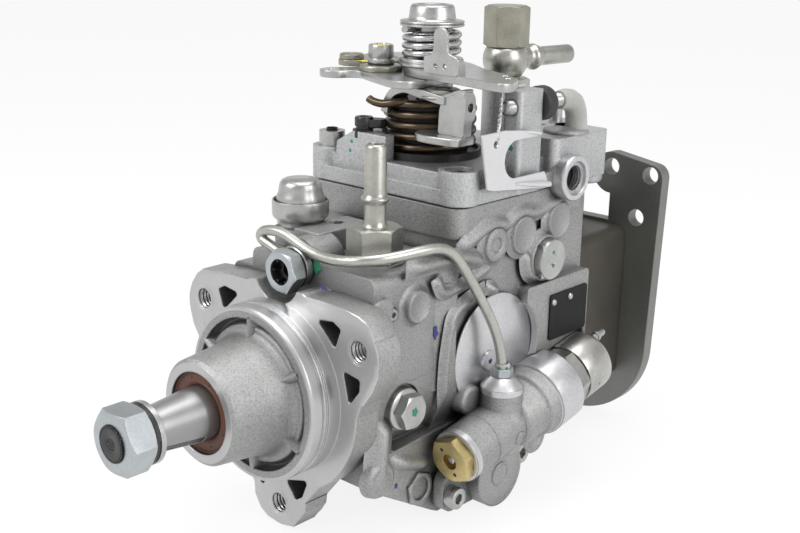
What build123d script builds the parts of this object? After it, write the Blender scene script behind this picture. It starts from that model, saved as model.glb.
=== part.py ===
from build123d import *
import math
import os

# Rotary diesel injection pump, in millimetres.
# The drive shaft turns about the Y axis, its thread end points to -Y and +Z is up.
# The origin is the centre of the pilot on the flange's mounting face.

# Clearances
running_gap = 0.05
screw_gap = 0.1
rest_gap = 0.3

# Drive shaft
journal_r = 10.0
shaft_tip_y = -74.8
thread_r = 6.8
thread_chamfer = 1.0
cone_front_y = -60.0
cone_rear_y = -41.0
cone_small_r = 8.1
shaft_end_y = 71.0
key_width = 4.0
key_depth = 2.2
key_turn = -66.0
tang_width = 6.0
tang_length = 4.0
centre_drill_r = 2.2
nut_af = 22.0
nut_thick = 10.5
nut_crown = 1.6
spring_washer_r = 10.6
spring_washer_thick = 1.6
washer_split = 1.2
flat_washer_r = 11.4
flat_washer_thick = 2.0

# Flange, pilot and nose of the housing
flange_thick = 12.0
flange_core_r = 42.0
flange_top_z = 39.6
flange_lobe_r = 14.6
flange_circle_r = 49.5
flange_hole_r = 4.0
flange_lobe_count = 3
flange_lobe_turn = 30.0
flange_lobe_r_at = 43.8
flange_lobe_flare = 30.0
floor_z = -58.4
pilot_r = 34.0
pilot_length = 13.7
pilot_groove_y = -8.6
pilot_groove_width = 3.0
pilot_groove_depth = 1.4
trough_out_r = 29.6
trough_depth = 7.0
trough_rib = 2.6
trough_rib_count = 6
nose_front_y = -38.0
nose_r = 19.9
nose_base_r = 23.2
nose_chamfer = 1.2
seal_r = 15.5
seal_length = 7.0
seal_recess = 1.0
seal_lip_r = 10.4
bush_r = 12.5
bush_front_y = -28.0
bush_length = 16.0

# Housing behind the flange
barrel_r = 41.0
bore_r = 33.0
bore_front_y = 14.0
front_barrel_r = 38.5
housing_rear_y = 142.0
split_z = 66.0
deck_z = 47.5
deck_low_z = 39.6
deck_half = 38.5
deck_left_x = -27.0
chamber_front_y = 55.0
chamber_half = 41.0
cavity_half = 27.0
cavity_front_y = 61.0
cavity_rear_y = 128.0
collar_depth = 12.0
collar_step = 2.0
pad_x = barrel_r + 3.5
pad_front_y = 97.0
pad_rear_y = 141.0
pad_low_z = -8.0
pad_high_z = 27.0
pocket_y = 84.0
pocket_z = 4.0
pocket_r = 21.0

# Seats, bosses and holes on the housing's outside
inlet_x = 21.6
inlet_y = 30.0
inlet_boss_r = 11.5
inlet_seat_z = deck_z + 0.8
union_x = 0.0
union_z = 45.2
union_boss_r = 10.5
union_boss_length = 14.0
union_notch_r = 12.5
union_bore_r = 4.0
union_bore_length = 10.0
union_head = 6.0
lock_y = 28.5
lock_z = -6.5
lock_boss_r = 9.5
lock_seat_x = front_barrel_r - 2.0
lock_screw_r = 4.0
lock_screw_length = 6.0
valve_x = -20.0
valve_y = 31.0
valve_seat_z = 54.0
valve_plug_r = 6.0
plug_y = 111.8
plug_z = 36.7
plug_boss_r = 9.5
plug_r = 5.8
plug_length = 8.8
plug_head = 3.0
plug_head_af = 8.0
boss_core_x = 20.0

# Timing device across the bottom of the housing
timing_y = 73.5
timing_z = -44.0
timing_bore_r = 10.0
timing_half = 38.0
timing_front_y = 47.0
timing_rear_y = 99.0
timing_wall = 14.5
piston_half = 17.0
piston_travel = 5.0
piston_wall = 3.0
piston_pocket = 8.0
piston_slot_depth = 5.0
pin_side_gap = 1.6
timing_cover_thick = 5.0

# Advance unit beside the timing device; its distances run along its own axis
advance_tilt = 11.0
advance_x = pad_x + 5.5
advance_front_y = 44.5
advance_front_z = -29.9
advance_stem_r = 10.9
advance_middle_r = 12.6
advance_collar_r = 15.8
advance_can_r = 13.2
advance_rim_at = 3.1
advance_middle_at = 36.0
advance_collar_at = 52.7
advance_can_at = 67.5
advance_can_end = 93.0
advance_plug_r = 8.4
advance_plug_length = 9.0
advance_bore_r = 3.2
terminal_up = 7.5
terminal_base_r = 3.2
terminal_r = 1.7
terminal_length = 13.0
column_r = 8.6
column_y = 74.8
column_top_z = -7.0
advance_disc_r = 13.8
advance_lug_y0 = 46.0
advance_lug_y1 = 97.0
advance_lug_z0 = -56.0
advance_lug_z1 = -38.0
advance_lug_thick = 5.0
advance_screw_r = 2.5
advance_screw_depth = 8.0
advance_screw_head_r = 4.3

# Vane pump
vane_ring_r = 29.0
vane_ring_length = 13.0
vane_ring_shift = 1.5
vane_ring_bore_r = 23.4
vane_rotor_r = 20.5
vane_tip_r = 21.7
vane_thick = 2.4
vane_slot_depth = 8.0
vane_count = 4
vane_cover_thick = 4.0

# Governor
gear_module = 1.25
drive_teeth = 50
carrier_teeth = 32
gear_y = 61.5
gear_width = 5.0
addendum = 0.9
dedendum = 1.2
tip_share = 0.13
root_share = 0.31
governor_shaft_r = 4.0
governor_shaft_seat = 3.0
carrier_hub_r = 8.0
cage_front_y = 67.2
cage_length = 15.0
cage_r = 16.0
cage_floor = 2.5
cage_post_depth = 4.0
cage_post_half = 3.5
weight_count = 4
weight_thick = 5.0
weight_length = 11.0
sleeve_r = 6.5
sleeve_length = 26.0
sleeve_crown = 4.0
sleeve_nose = 1.5
sleeve_nose_r = 1.6
lever_pivot_z = 24.0
lever_y = 100.0
lever_thick = 3.0
lever_half = 9.0
lever_top_z = 60.0
lever_pin_r = 2.5
lever_pin_seat = 9.0
lever_boss_wall = 2.0
lever_foot = 5.0
lever_ball_r = 2.4
lever_ball_z = 9.6
lever_stem_r = 1.6

# Cam drive and plunger
cross_disc_r = 17.0
cross_disc_length = 5.0
roller_ring_front_y = 67.5
roller_ring_length = 13.0
roller_ring_bore_r = 19.0
roller_r = 5.0
roller_length = 8.0
roller_sink = 3.0
roller_count = 4
roller_circle_r = 26.0
advance_pin_r = 3.0
cam_r = 31.0
cam_thick = 7.0
cam_lobe_rise = 2.0
cam_gap = 0.1
cam_tang_inset = 4.0
plunger_r = 6.0
plunger_foot_r = 11.0
plunger_foot_length = 2.8
plunger_end_gap = 12.0
collar_r = 11.0
collar_length = 7.0
collar_groove_depth = 4.1

# Distributor head
head_half = 36.6
head_rear_y = 182.0
head_corner_r = 5.0
head_spigot_front_y = 128.0
barrel_insert_r = 12.0
boss_x = 8.0
boss_y = 162.0
boss_r = 15.0
boss_top_z = 50.0
outlet_circle_r = 23.0
outlet_count = 4
holder_af = 14.0
holder_hex_length = 9.0
holder_thread_r = 6.0
holder_length = 30.0
holder_bore_r = 1.5
valve_r = 2.5
valve_length = 8.0
valve_travel = 1.5
centre_plug_af = 17.0
centre_plug_length = 8.0

# Support plate behind the head
plate_thick = 6.0
plate_right_x = 53.5
plate_low_right_x = 51.0
plate_top_z = 69.0
plate_left_x = -39.0
plate_neck_x = 26.6
plate_bend_r = 38.5
plate_window_r = 33.5
plate_hole_r = 3.9
plate_screw_at = 29.0
plate_screw_r = 3.0

# Governor cover
cover_half = chamber_half + 1.0
cover_rear_y = 147.0
cover_rim = 6.0
cover_corner_r = 9.0
gasket_thick = 0.8
cover_shelf_z = 78.5
cover_lug_r = 8.0
cover_lug_top_z = 80.0
cover_screw_r = 3.0
cover_screw_head_r = 5.4
cover_screw_head = 7.0
cover_wall = 4.0
tower_top_z = 88.5
tower_left_x = -26.0
tower_right_x = 1.0
tower_depth = 5.0
stop_column_x = cover_half - 4.0
stop_column_y = 96.8
stop_column_w = 9.0
stop_column_l = 15.6
stop_column_top_z = 107.5
stop_screw_z = 101.0
stop_screw_r = 3.0
stop_stud_length = 24.0
stop_dome_r = 4.4
stop_ring_r = 6.9
stop_ring_length = 7.5
rear_block_x = 18.0
rear_block_y = 113.0
rear_block_end_y = 153.0
rear_block_top_z = 86.0
port_y = 121.5
port_z = 69.8
port_r = 9.2
port_bore_r = 5.2
port_reach = 5.0
port_depth = 5.4

# Throttle lever stack on the cover
throttle_x = 0.0
throttle_y = 84.5
throttle_r = 5.0
cup_r = 21.4
cup_wall = 1.2
cup_height = 3.0
cup_sleeve_r = 15.8
cup_sleeve_height = 22.0
return_spring_r = 17.8
return_wire_r = 1.6
return_pitch = 4.35
return_turns = 4.75
lever_plate_z = 111.0
lever_plate_thick = 3.2
upper_spring_z = 117.6
upper_spring_r = 11.0
upper_wire_r = 1.3
upper_pitch = 3.4
upper_turns = 2.8
spring_disc_r = 13.0
spring_disc_thick = 2.2
spring_cap_r = 8.9
spring_cap_height = 6.4

# Small things on the outside
fitting_plug_r = 5.0
fitting_plug_length = 9.8
inlet_hex_height = 10.0
inlet_tube_r = 4.0
inlet_bead_r = 4.8
inlet_bead_z = 21.5
inlet_height = 42.0
inlet_bore_r = 2.2
valve_base_r = 9.0
valve_cup_r = 10.2
valve_cap_r = 7.3
label_y0 = 112.5
label_y1 = 139.5
label_z0 = 0.4
label_z1 = 20.5
label_thick = 0.6
banjo_r = 7.5
banjo_thick = 5.0
return_x = 2.6
return_y = 130.0
return_seat_z = 101.0
return_boss_r = 9.5
return_hex_af = 19.0
return_hex_height = 5.0
return_neck_r = 6.5
return_ball_r = 9.8
return_ball_z = 12.5
return_bolt_seat = 17.5
return_bolt_height = 18.0
barb_r = 3.6
barb_bead_r = 4.9
barb_length = 34.0
tag_thick = 0.8
tag_slot_r = 7.5
tag_slot_y = 83.5
tag_slot_z = 82.6
tag_hole_y = 70.2
tag_hole_z = 89.9
tag_hole_r = 1.5
wire_r = 0.5
wire_bend_r = 1.5
hex_large_af = 17.0
hex_medium_af = 13.0
pipe_r = 2.1
pipe_nut_af = 10.0
pipe_nut_height = 5.5


def disc(radius, u=0.0, v=0.0):
    """A filled circle at (u, v)."""
    return Pos(u, v) * Circle(radius)


def panel(u0, u1, v0, v1, corner=0.0):
    """A rectangle between two corners, with rounded corners on request."""
    place = Pos((u0 + u1) / 2, (v0 + v1) / 2)
    if corner > 0:
        return place * RectangleRounded(u1 - u0, v1 - v0, corner)
    return place * Rectangle(u1 - u0, v1 - v0)


def hexagon(across, u=0.0, v=0.0, turn=0.0):
    """A hexagon by its width across flats."""
    return Pos(u, v) * Rot(0, 0, turn) * RegularPolygon(across / 2, 6, major_radius=False)


def outline(*points, corner=0.0):
    """A closed polygon with all its corners rounded alike."""
    pairs = zip(points, points[1:] + points[:1])
    turning = sum(a[0] * b[1] - b[0] * a[1] for a, b in pairs)
    face = Polygon(*(points if turning > 0 else points[::-1]), align=None)
    if corner > 0:
        return fillet(face.vertices(), corner)
    return face


def along_x(sketch, x0, x1):
    """Extrude a (y, z) sketch from x0 to x1."""
    return extrude(Plane.YZ.offset(x0) * sketch, x1 - x0)


def along_y(sketch, y0, y1):
    """Extrude an (x, z) sketch from y0 to y1."""
    return extrude(Plane.XZ.offset(-y1) * sketch, y1 - y0)


def along_z(sketch, z0, z1):
    """Extrude an (x, y) sketch from z0 to z1."""
    return extrude(Plane.XY.offset(z0) * sketch, z1 - z0)


def cone_y(r0, r1, y0, y1):
    """A cone about the shaft axis, radius r0 at y0 and r1 at y1."""
    profile = Polygon((0, y0), (r0, y0), (r1, y1), (0, y1), align=None)
    return revolve(Plane.XY * profile, Axis.Y)


def ring(sketch_out, radius_in):
    """A sketch with a round hole at the origin."""
    return sketch_out - Circle(radius_in)


def toward(origin, direction, x_dir=None):
    """A frame whose local Z points along a direction."""
    return Plane(origin=origin, x_dir=x_dir, z_dir=direction)


def polar(radius, angle):
    """A point on a circle in the (x, z) plane."""
    turn = math.radians(angle)
    return radius * math.cos(turn), radius * math.sin(turn)


def flange_points():
    """Centres of the flange holes in (x, z)."""
    step = 360 / flange_lobe_count
    return [polar(flange_circle_r, flange_lobe_turn + step * i) for i in range(flange_lobe_count)]


def cap_screw(head_r, head_h, shank_r, length):
    """Socket cap screw with its head's underside at the origin, shank to -Z."""
    head = Cylinder(head_r, head_h, align=(Align.CENTER, Align.CENTER, Align.MIN))
    socket = extrude(Plane.XY.offset(head_h * 0.4) * hexagon(head_r), head_h)
    shank = Cylinder(shank_r, length, align=(Align.CENTER, Align.CENTER, Align.MAX))
    return head - socket + shank


def hex_screw(across, head_h, washer_r, washer_h, shank_r, length):
    """Hexagon screw with a washer face, underside at the origin, shank to -Z."""
    screw = extrude(Plane.XY.offset(washer_h) * hexagon(across), head_h)
    screw += Cylinder(washer_r, washer_h, align=(Align.CENTER, Align.CENTER, Align.MIN))
    return screw + Cylinder(shank_r, length, align=(Align.CENTER, Align.CENTER, Align.MAX))


def coil(radius, wire_r, pitch, turns):
    """A round-wire spring with its lowest point at z = 0, about the Z axis."""
    path = Helix(pitch=pitch, height=pitch * turns, radius=radius)
    section = Plane(origin=path @ 0, z_dir=path % 0) * RegularPolygon(wire_r, 6)
    return Pos(0, 0, wire_r) * sweep(section, path=path, is_frenet=True)


# Drive shaft body
def drive_shaft():
    shaft = along_y(disc(thread_r), shaft_tip_y, cone_front_y)
    shaft = chamfer(shaft.edges().group_by(Axis.Y)[0], thread_chamfer)
    shaft += cone_y(cone_small_r, journal_r, cone_front_y, cone_rear_y)
    shaft += along_y(disc(journal_r), cone_rear_y, shaft_end_y - tang_length)
    tang = panel(-journal_r, journal_r, -tang_width / 2, tang_width / 2) & disc(journal_r)
    shaft += along_y(tang, shaft_end_y - tang_length, shaft_end_y)
    shaft -= along_y(disc(centre_drill_r), shaft_tip_y, shaft_tip_y + 2 * centre_drill_r)
    slot = panel(cone_small_r - key_depth, journal_r, -key_width / 2, key_width / 2)
    return shaft - Rot(0, -key_turn, 0) * along_y(slot, cone_front_y, cone_rear_y)


def shaft_nut():
    y1 = cone_front_y - flat_washer_thick - spring_washer_thick
    blank = along_y(hexagon(nut_af, turn=30), y1 - nut_thick, y1)
    tip_r = nut_af / math.sqrt(3)
    crown_y = y1 - nut_thick + nut_crown
    dome = cone_y(nut_af / 2 - 0.2, tip_r, y1 - nut_thick, crown_y)
    dome += along_y(disc(tip_r), crown_y, y1)
    return (blank & dome) - along_y(disc(thread_r + running_gap), y1 - nut_thick, y1)


def shaft_washers():
    """Flat washer and split washer under the nut."""
    y1 = cone_front_y
    y0 = y1 - flat_washer_thick
    washers = along_y(ring(disc(flat_washer_r), thread_r + screw_gap), y0, y1)
    cut = panel(0, nut_af, -washer_split / 2, washer_split / 2)
    split = ring(disc(spring_washer_r), thread_r + screw_gap) - cut
    return Compound([washers, along_y(split, y0 - spring_washer_thick, y0)])


def vane_pump_y():
    """Front and rear of the vane ring."""
    return bore_front_y, bore_front_y + vane_ring_length


def vane_rotor():
    y0, y1 = vane_pump_y()
    face = ring(disc(vane_rotor_r), journal_r + running_gap)
    for i in range(vane_count):
        slot = panel(vane_rotor_r - vane_slot_depth, vane_rotor_r + 1, -vane_thick / 2, vane_thick / 2)
        face -= Rot(0, 0, 45 + 360 / vane_count * i) * slot
    return along_y(face, y0 + running_gap, y1 - running_gap)


def vanes():
    y0, y1 = vane_pump_y()
    half = vane_thick / 2 - running_gap
    blade = panel(vane_rotor_r - vane_slot_depth + rest_gap, vane_tip_r, -half, half)
    blades = [Rot(0, 0, 45 + 360 / vane_count * i) * blade for i in range(vane_count)]
    return Compound([along_y(one, y0 + running_gap, y1 - running_gap) for one in blades])


def gear_face(teeth, bore, turn):
    """Spur gear with straight-flanked teeth, as an (x, z) sketch."""
    pitch_r = gear_module * teeth / 2
    tip, root = pitch_r + gear_module * addendum, pitch_r - gear_module * dedendum
    step = 2 * math.pi / teeth
    points = []
    for i in range(teeth):
        middle = math.radians(turn) + step * i
        for radius, share in ((root, -root_share), (tip, -tip_share), (tip, tip_share), (root, root_share)):
            angle = middle + step * share
            points.append((radius * math.cos(angle), radius * math.sin(angle)))
    return Polygon(*points, align=None) - Circle(bore)


def gear_centre_z():
    return gear_module * (drive_teeth + carrier_teeth) / 2


def drive_gear():
    turn = 90 + 180 / drive_teeth
    return along_y(gear_face(drive_teeth, journal_r + running_gap, turn), gear_y, gear_y + gear_width)


def cross_disc():
    y0 = shaft_end_y - tang_length + rest_gap
    face = disc(cross_disc_r) - panel(-cross_disc_r, cross_disc_r, -tang_width / 2 - running_gap,
                                      tang_width / 2 + running_gap)
    y1 = y0 + cross_disc_length
    floor_y = shaft_end_y + running_gap
    return along_y(face, y0, floor_y) + along_y(disc(cross_disc_r), floor_y, y1)


def cam_front_y():
    return roller_axis_y() + roller_r + cam_lobe_rise + cam_gap


def cam_plate():
    y0 = cam_front_y()
    plate = along_y(disc(cam_r), y0, y0 + cam_thick)
    reach = cross_disc_r - cam_tang_inset
    drive = panel(-tang_width / 2, tang_width / 2, -reach, reach)
    y_disc = shaft_end_y - tang_length + rest_gap + cross_disc_length + running_gap
    plate += along_y(drive, y_disc, y0)
    lobe_half = 360 / roller_count / 6
    for i in range(roller_count):
        sector = panel(roller_circle_r - roller_r, cam_r, -lobe_half / 4, lobe_half / 4)
        turned = Rot(0, 0, 360 / roller_count * (i + 0.5)) * sector
        plate += along_y(turned & disc(cam_r), y0 - cam_lobe_rise, y0)
    return plate


def plunger():
    y0 = cam_front_y() + cam_thick
    body = along_y(disc(plunger_foot_r), y0, y0 + plunger_foot_length)
    return body + along_y(disc(plunger_r), y0 + plunger_foot_length, head_rear_y - plunger_end_gap)


# Governor
def governor_shaft():
    axis = disc(governor_shaft_r, 0, gear_centre_z())
    tip_y = sleeve_front_y() + sleeve_length - sleeve_crown - 0.2
    return along_y(axis, cavity_front_y - governor_shaft_seat, tip_y)


def weight_carrier():
    z = gear_centre_z()
    y1 = cage_front_y + cage_length
    gear = Pos(0, z) * gear_face(carrier_teeth, governor_shaft_r + running_gap, -90)
    body = along_y(gear, gear_y, gear_y + gear_width)
    hub = Pos(0, z) * ring(disc(carrier_hub_r), governor_shaft_r + running_gap)
    body += along_y(hub, gear_y + gear_width, cage_front_y + cage_floor)
    body += along_y(Pos(0, z) * ring(disc(cage_r), carrier_hub_r), cage_front_y, cage_front_y + cage_floor)
    post = panel(cage_r - cage_post_depth, cage_r, -cage_post_half, cage_post_half)
    for i in range(weight_count):
        arm = Pos(0, z) * Rot(0, 0, 45 + 360 / weight_count * i) * post
        body += along_y(arm, cage_front_y + cage_floor, y1)
    return body


def flyweights():
    y0 = cage_front_y + cage_floor
    inner = sleeve_r + 0.6
    block = panel(inner, cage_r - 1, -weight_thick, weight_thick)
    made = []
    for i in range(weight_count):
        place = Pos(0, gear_centre_z()) * Rot(0, 0, 360 / weight_count * i)
        made.append(along_y(place * block, y0, y0 + weight_length))
    return Compound(made)


def sleeve_front_y():
    return lever_y - lever_thick / 2 - rest_gap - sleeve_length


def governor_sleeve():
    z = gear_centre_z()
    y0 = sleeve_front_y()
    tip_y = y0 + sleeve_length
    crown_y = tip_y - sleeve_crown
    body = along_y(Pos(0, z) * ring(disc(sleeve_r), governor_shaft_r + running_gap), y0, crown_y)
    body += along_y(disc(sleeve_r, 0, z), crown_y, tip_y - sleeve_nose)
    return body + along_y(disc(sleeve_nose_r, 0, z), tip_y - sleeve_nose, tip_y)


def governor_lever():
    low_z = lever_pivot_z - lever_foot
    plate = panel(-lever_half, lever_half, low_z, lever_top_z, 3)
    body = along_y(plate, lever_y - lever_thick / 2, lever_y + lever_thick / 2)
    body += along_x(disc(lever_pin_r + lever_boss_wall, lever_y, lever_pivot_z), -lever_half, lever_half)
    body -= along_x(disc(lever_pin_r + running_gap, lever_y, lever_pivot_z), -lever_half, lever_half)
    body += along_z(disc(lever_stem_r, 0, lever_y), lever_ball_z, low_z + 1)
    return body + Pos(0, lever_y, lever_ball_z) * Sphere(lever_ball_r)


def lever_pin():
    reach = cavity_half + lever_pin_seat
    return along_x(disc(lever_pin_r, lever_y, lever_pivot_z), -reach, reach)


def control_collar():
    y0 = lever_y - collar_length / 2
    y1 = lever_y + collar_length / 2
    body = along_y(ring(disc(collar_r), plunger_r + running_gap), y0, y1)
    groove = ring(disc(collar_r + 1), collar_r - collar_groove_depth)
    half = lever_ball_r + running_gap * 2
    return body - along_y(groove, lever_y - half, lever_y + half)


# Timing device
def timing_piston():
    body = along_x(disc(timing_bore_r - running_gap, timing_y, timing_z), -piston_half, piston_half)
    pocket = disc(timing_bore_r - piston_wall, timing_y, timing_z)
    body -= along_x(pocket, -piston_half, -piston_half + piston_pocket)
    half = advance_pin_r + screw_gap
    slot = panel(-advance_pin_r - pin_side_gap, advance_pin_r + pin_side_gap, timing_y - half, timing_y + half)
    return body - along_z(slot, timing_z - piston_slot_depth, timing_z + timing_bore_r)


def roller_ring():
    y0 = roller_ring_front_y
    y1 = y0 + roller_ring_length
    body = along_y(ring(disc(bore_r - running_gap), roller_ring_bore_r), y0, y1)
    for i in range(roller_count):
        angle = 45 + 360 / roller_count * i
        seat = roller_seat(roller_r + running_gap, roller_length + 2 * running_gap)
        body -= Rot(0, angle, 0) * seat
    pin = along_z(disc(advance_pin_r, 0, timing_y), timing_z - 3, -bore_r + 4)
    return body + pin


def roller_axis_y():
    return roller_ring_front_y + roller_ring_length - roller_sink


def roller_seat(radius, length):
    """A roller lying along +X in the rear face of the roller ring."""
    y = roller_axis_y()
    return along_x(disc(radius, y, 0), roller_circle_r - length / 2, roller_circle_r + length / 2)


def rollers():
    turns = [Rot(0, 45 + 360 / roller_count * i, 0) for i in range(roller_count)]
    return Compound([turn * roller_seat(roller_r, roller_length) for turn in turns])


# Vane pump, seal and bushes in the housing
def eccentric_ring():
    y0, y1 = vane_pump_y()
    face = disc(vane_ring_r) - disc(vane_ring_bore_r, 0, vane_ring_shift)
    return along_y(face, y0, y1)


def vane_cover():
    y0 = vane_pump_y()[1]
    face = ring(disc(vane_ring_r), journal_r + running_gap)
    return along_y(face, y0, y0 + vane_cover_thick)


def shaft_seal():
    y0 = nose_front_y + seal_recess
    body = along_y(ring(disc(seal_r - 0.02), seal_lip_r), y0, y0 + seal_length)
    lip = ring(disc(seal_r - 3), journal_r + 0.08)
    body -= along_y(ring(disc(seal_r - 1.6), seal_lip_r), y0 + 1.6, y0 + seal_length)
    return body + along_y(lip, y0 + seal_length - 4, y0 + seal_length - 2.4) + along_y(
        ring(disc(seal_lip_r + 1.2), seal_lip_r), y0 + 1.4, y0 + seal_length - 2.4)


def bushes():
    y0 = bush_front_y
    face = ring(disc(bush_r - 0.02), journal_r + running_gap)
    front = along_y(face, y0, y0 + bush_length)
    rear = along_y(face, bore_front_y - 1 - bush_length, bore_front_y - 1)
    return Compound([front, rear])


# Housing
def flange():
    """Three-lobed mounting flange, flat on top."""
    face = disc(flange_core_r)
    for x, z in flange_points():
        ux, uz = x / flange_circle_r, z / flange_circle_r
        reach = flange_lobe_r_at
        face += disc(flange_lobe_r, ux * reach, uz * reach)
        root = [(26, side * flange_lobe_flare) for side in (1, -1)]
        tip = [(reach + 1.2, side * flange_lobe_r) for side in (-1, 1)]
        web = [(ux * u - uz * v, uz * u + ux * v) for u, v in root + tip]
        face += outline(*web)
    face &= panel(-70, 70, floor_z, flange_top_z)
    body = along_y(face, 0, flange_thick)
    for x, z in flange_points():
        body -= along_y(disc(flange_hole_r, x, z), 0, flange_thick)
    return body


def flange_pockets():
    """Two casting pockets beside each flange hole, open to the front."""
    made = Part()
    for i in range(flange_lobe_count):
        middle = flange_lobe_turn + 360 / flange_lobe_count * i
        for side in (1, -1):
            corners = [polar(38.4, middle + side * 6), polar(46, middle + side * 12),
                       polar(44.5, middle + side * 17.5), polar(38.2, middle + side * 26)]
            made += along_y(outline(*corners, corner=1.2), 0, flange_thick - 4)
    return made


def pilot_and_nose():
    y_front = -pilot_length
    nose = cone_y(nose_r, nose_base_r, nose_front_y, y_front + trough_depth)
    nose = chamfer(nose.edges().group_by(Axis.Y)[0], nose_chamfer)
    rim = along_y(disc(pilot_r), y_front, 0)
    rim = chamfer(rim.edges().group_by(Axis.Y)[0], 0.8)
    trough = ring(disc(trough_out_r), nose_base_r)
    rim -= along_y(trough, y_front, y_front + trough_depth)
    groove = ring(disc(pilot_r + 1), pilot_r - pilot_groove_depth)
    rim -= along_y(groove, pilot_groove_y, pilot_groove_y + pilot_groove_width)
    for i in range(trough_rib_count):
        rib = panel(nose_r, trough_out_r + 0.5, -trough_rib / 2, trough_rib / 2)
        turned = Rot(0, 0, 30 + 360 / trough_rib_count * i) * rib
        rim += along_y(turned, y_front + 1.5, y_front + trough_depth)
    return nose + rim


def housing_mass():
    """Outer body of the casting behind the flange."""
    body = along_y(disc(front_barrel_r), flange_thick, chamber_front_y)
    body += along_y(disc(barrel_r), chamber_front_y - 6, housing_rear_y)
    deck = panel(-deck_half, deck_half, 0, deck_low_z, 4) + panel(deck_left_x, deck_half, 10, deck_z, 4)
    body += along_y(deck, flange_thick, chamber_front_y)
    chamber = panel(-chamber_half + collar_step, chamber_half - collar_step, -12, split_z)
    body += along_y(chamber, chamber_front_y + collar_step, housing_rear_y)
    collar = panel(-chamber_half, chamber_half, chamber_front_y, housing_rear_y, 6)
    body += along_z(collar, split_z - collar_depth, split_z)
    keel = outline((flange_thick, -24), (flange_thick, -36), (timing_front_y, floor_z + 2),
                   (timing_front_y + 4, floor_z), (timing_rear_y - 6, floor_z), (timing_rear_y, -40),
                   (timing_rear_y, -20))
    body += along_x(keel, -timing_half, timing_half)
    pad = panel(pad_front_y, pad_rear_y, pad_low_z, pad_high_z, 2)
    return body + along_x(pad, 0, pad_x)


def housing_bosses():
    """Round bosses and raised seats on the outside."""
    made = along_x(disc(timing_wall, timing_y, timing_z), -timing_half - 2, timing_half + 2)
    seat = panel(valve_x - 6, valve_x + 22, valve_y - 10, valve_y + 21, 3)
    made += along_z(seat, boss_core_x, valve_seat_z)
    made += along_z(disc(inlet_boss_r, inlet_x, inlet_y), boss_core_x, inlet_seat_z)
    made += along_y(disc(union_boss_r, union_x, union_z), flange_thick, flange_thick + union_boss_length)
    made += along_x(disc(lock_boss_r, lock_y, lock_z), 0, lock_seat_x)
    for y, z, radius, reach in side_bosses():
        made += along_x(disc(radius, y, z), boss_core_x, reach)
    return made


def side_bosses():
    """(y, z, radius, x of the face) of the round bosses on the +X side."""
    low, high = chamber_half + 0.5, chamber_half + 2.0
    return [(15.8, 35.5, 4.5, deck_half + 2), (33.7, 33.1, 6.0, deck_half + 3), (76.8, 49.0, 6.5, high),
            (94.9, 49.7, 7.5, high), (119.0, 51.7, 7.5, high), (plug_y, plug_z, plug_boss_r, low)]


def pump_housing():
    body = flange() + housing_mass() + housing_bosses()
    body -= flange_pockets()
    notch = along_y(disc(union_notch_r, union_x, union_z), 0, flange_thick)
    body = body - notch + pilot_and_nose()
    pocket = disc(pocket_r, pocket_y, pocket_z)
    body -= along_x(pocket, barrel_r - 1.5, barrel_r + 20)
    body -= along_y(disc(seal_r), nose_front_y, nose_front_y + seal_recess + seal_length)
    body -= along_y(disc(journal_r + 1), nose_front_y, bore_front_y)
    body -= along_y(disc(bush_r), bush_front_y, bush_front_y + bush_length)
    body -= along_y(disc(bush_r), bore_front_y - 1 - bush_length, bore_front_y - 1)
    body -= along_y(disc(vane_ring_r + 0.02), bore_front_y, bore_front_y + 19)
    body -= along_y(disc(bore_r), bore_front_y + 19, housing_rear_y)
    z = gear_centre_z()
    body -= along_y(disc(governor_shaft_r + 0.02, 0, z), cavity_front_y - governor_shaft_seat, cavity_front_y)
    cavity = panel(-cavity_half, cavity_half, cavity_front_y, cavity_rear_y, 5)
    body -= along_z(cavity, 0, split_z)
    body -= along_x(disc(timing_bore_r, timing_y, timing_z), -timing_half - 2, timing_half + 2)
    slot = panel(-advance_pin_r - 1.5, advance_pin_r + piston_travel + 1.5,
                 timing_y - advance_pin_r - 0.5, timing_y + advance_pin_r + 0.5)
    body -= along_z(slot, timing_z, -bore_r + 2)
    pin_end = cavity_half + lever_pin_seat + 0.02
    body -= along_x(disc(lever_pin_r + 0.02, lever_y, lever_pivot_z), -pin_end, pin_end)
    body -= lock_hole() + inlet_hole() + cover_holes(split_z - 14, split_z) + head_holes()
    body -= union_hole() + plug_hole() + advance_holes() + pressure_hole()
    body -= advance_room()
    return body


def lock_hole():
    seat = along_x(disc(lock_boss_r, lock_y, lock_z), lock_seat_x, lock_seat_x + 10)
    bore = disc(lock_screw_r + screw_gap, lock_y, lock_z)
    return seat + along_x(bore, lock_seat_x - lock_screw_length - 0.5, lock_seat_x)


def inlet_hole():
    bore = disc(fitting_plug_r + screw_gap, inlet_x, inlet_y)
    return along_z(bore, inlet_seat_z - fitting_plug_length - 0.2, inlet_seat_z)


def union_hole():
    y0 = flange_thick
    return along_y(disc(union_bore_r + screw_gap, union_x, union_z), y0, y0 + union_bore_length)


def plug_hole():
    x1 = chamber_half + 2
    return along_x(disc(plug_r + screw_gap, plug_y, plug_z), x1 - plug_length - 0.2, x1)


def cover_holes(z0, z1):
    made = Part()
    for x, y in cover_screw_points():
        made += along_z(disc(cover_screw_r + screw_gap, x, y), z0, z1)
    return made


def cover_screw_points():
    inset = cover_lug_r - 0.5
    x = cover_half - inset
    return [(-x, chamber_front_y + inset), (x, chamber_front_y + inset),
            (-x, cover_rear_y - 12), (x - 1, cover_rear_y - 12)]


def head_screw_points():
    at = plate_screw_at
    return [(sx * at, sz * at) for sx in (-1, 1) for sz in (-1, 1)]


def head_holes():
    made = Part()
    for x, z in head_screw_points():
        made += along_y(disc(plate_screw_r + screw_gap, x, z), housing_rear_y - 8, housing_rear_y)
    return made


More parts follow.
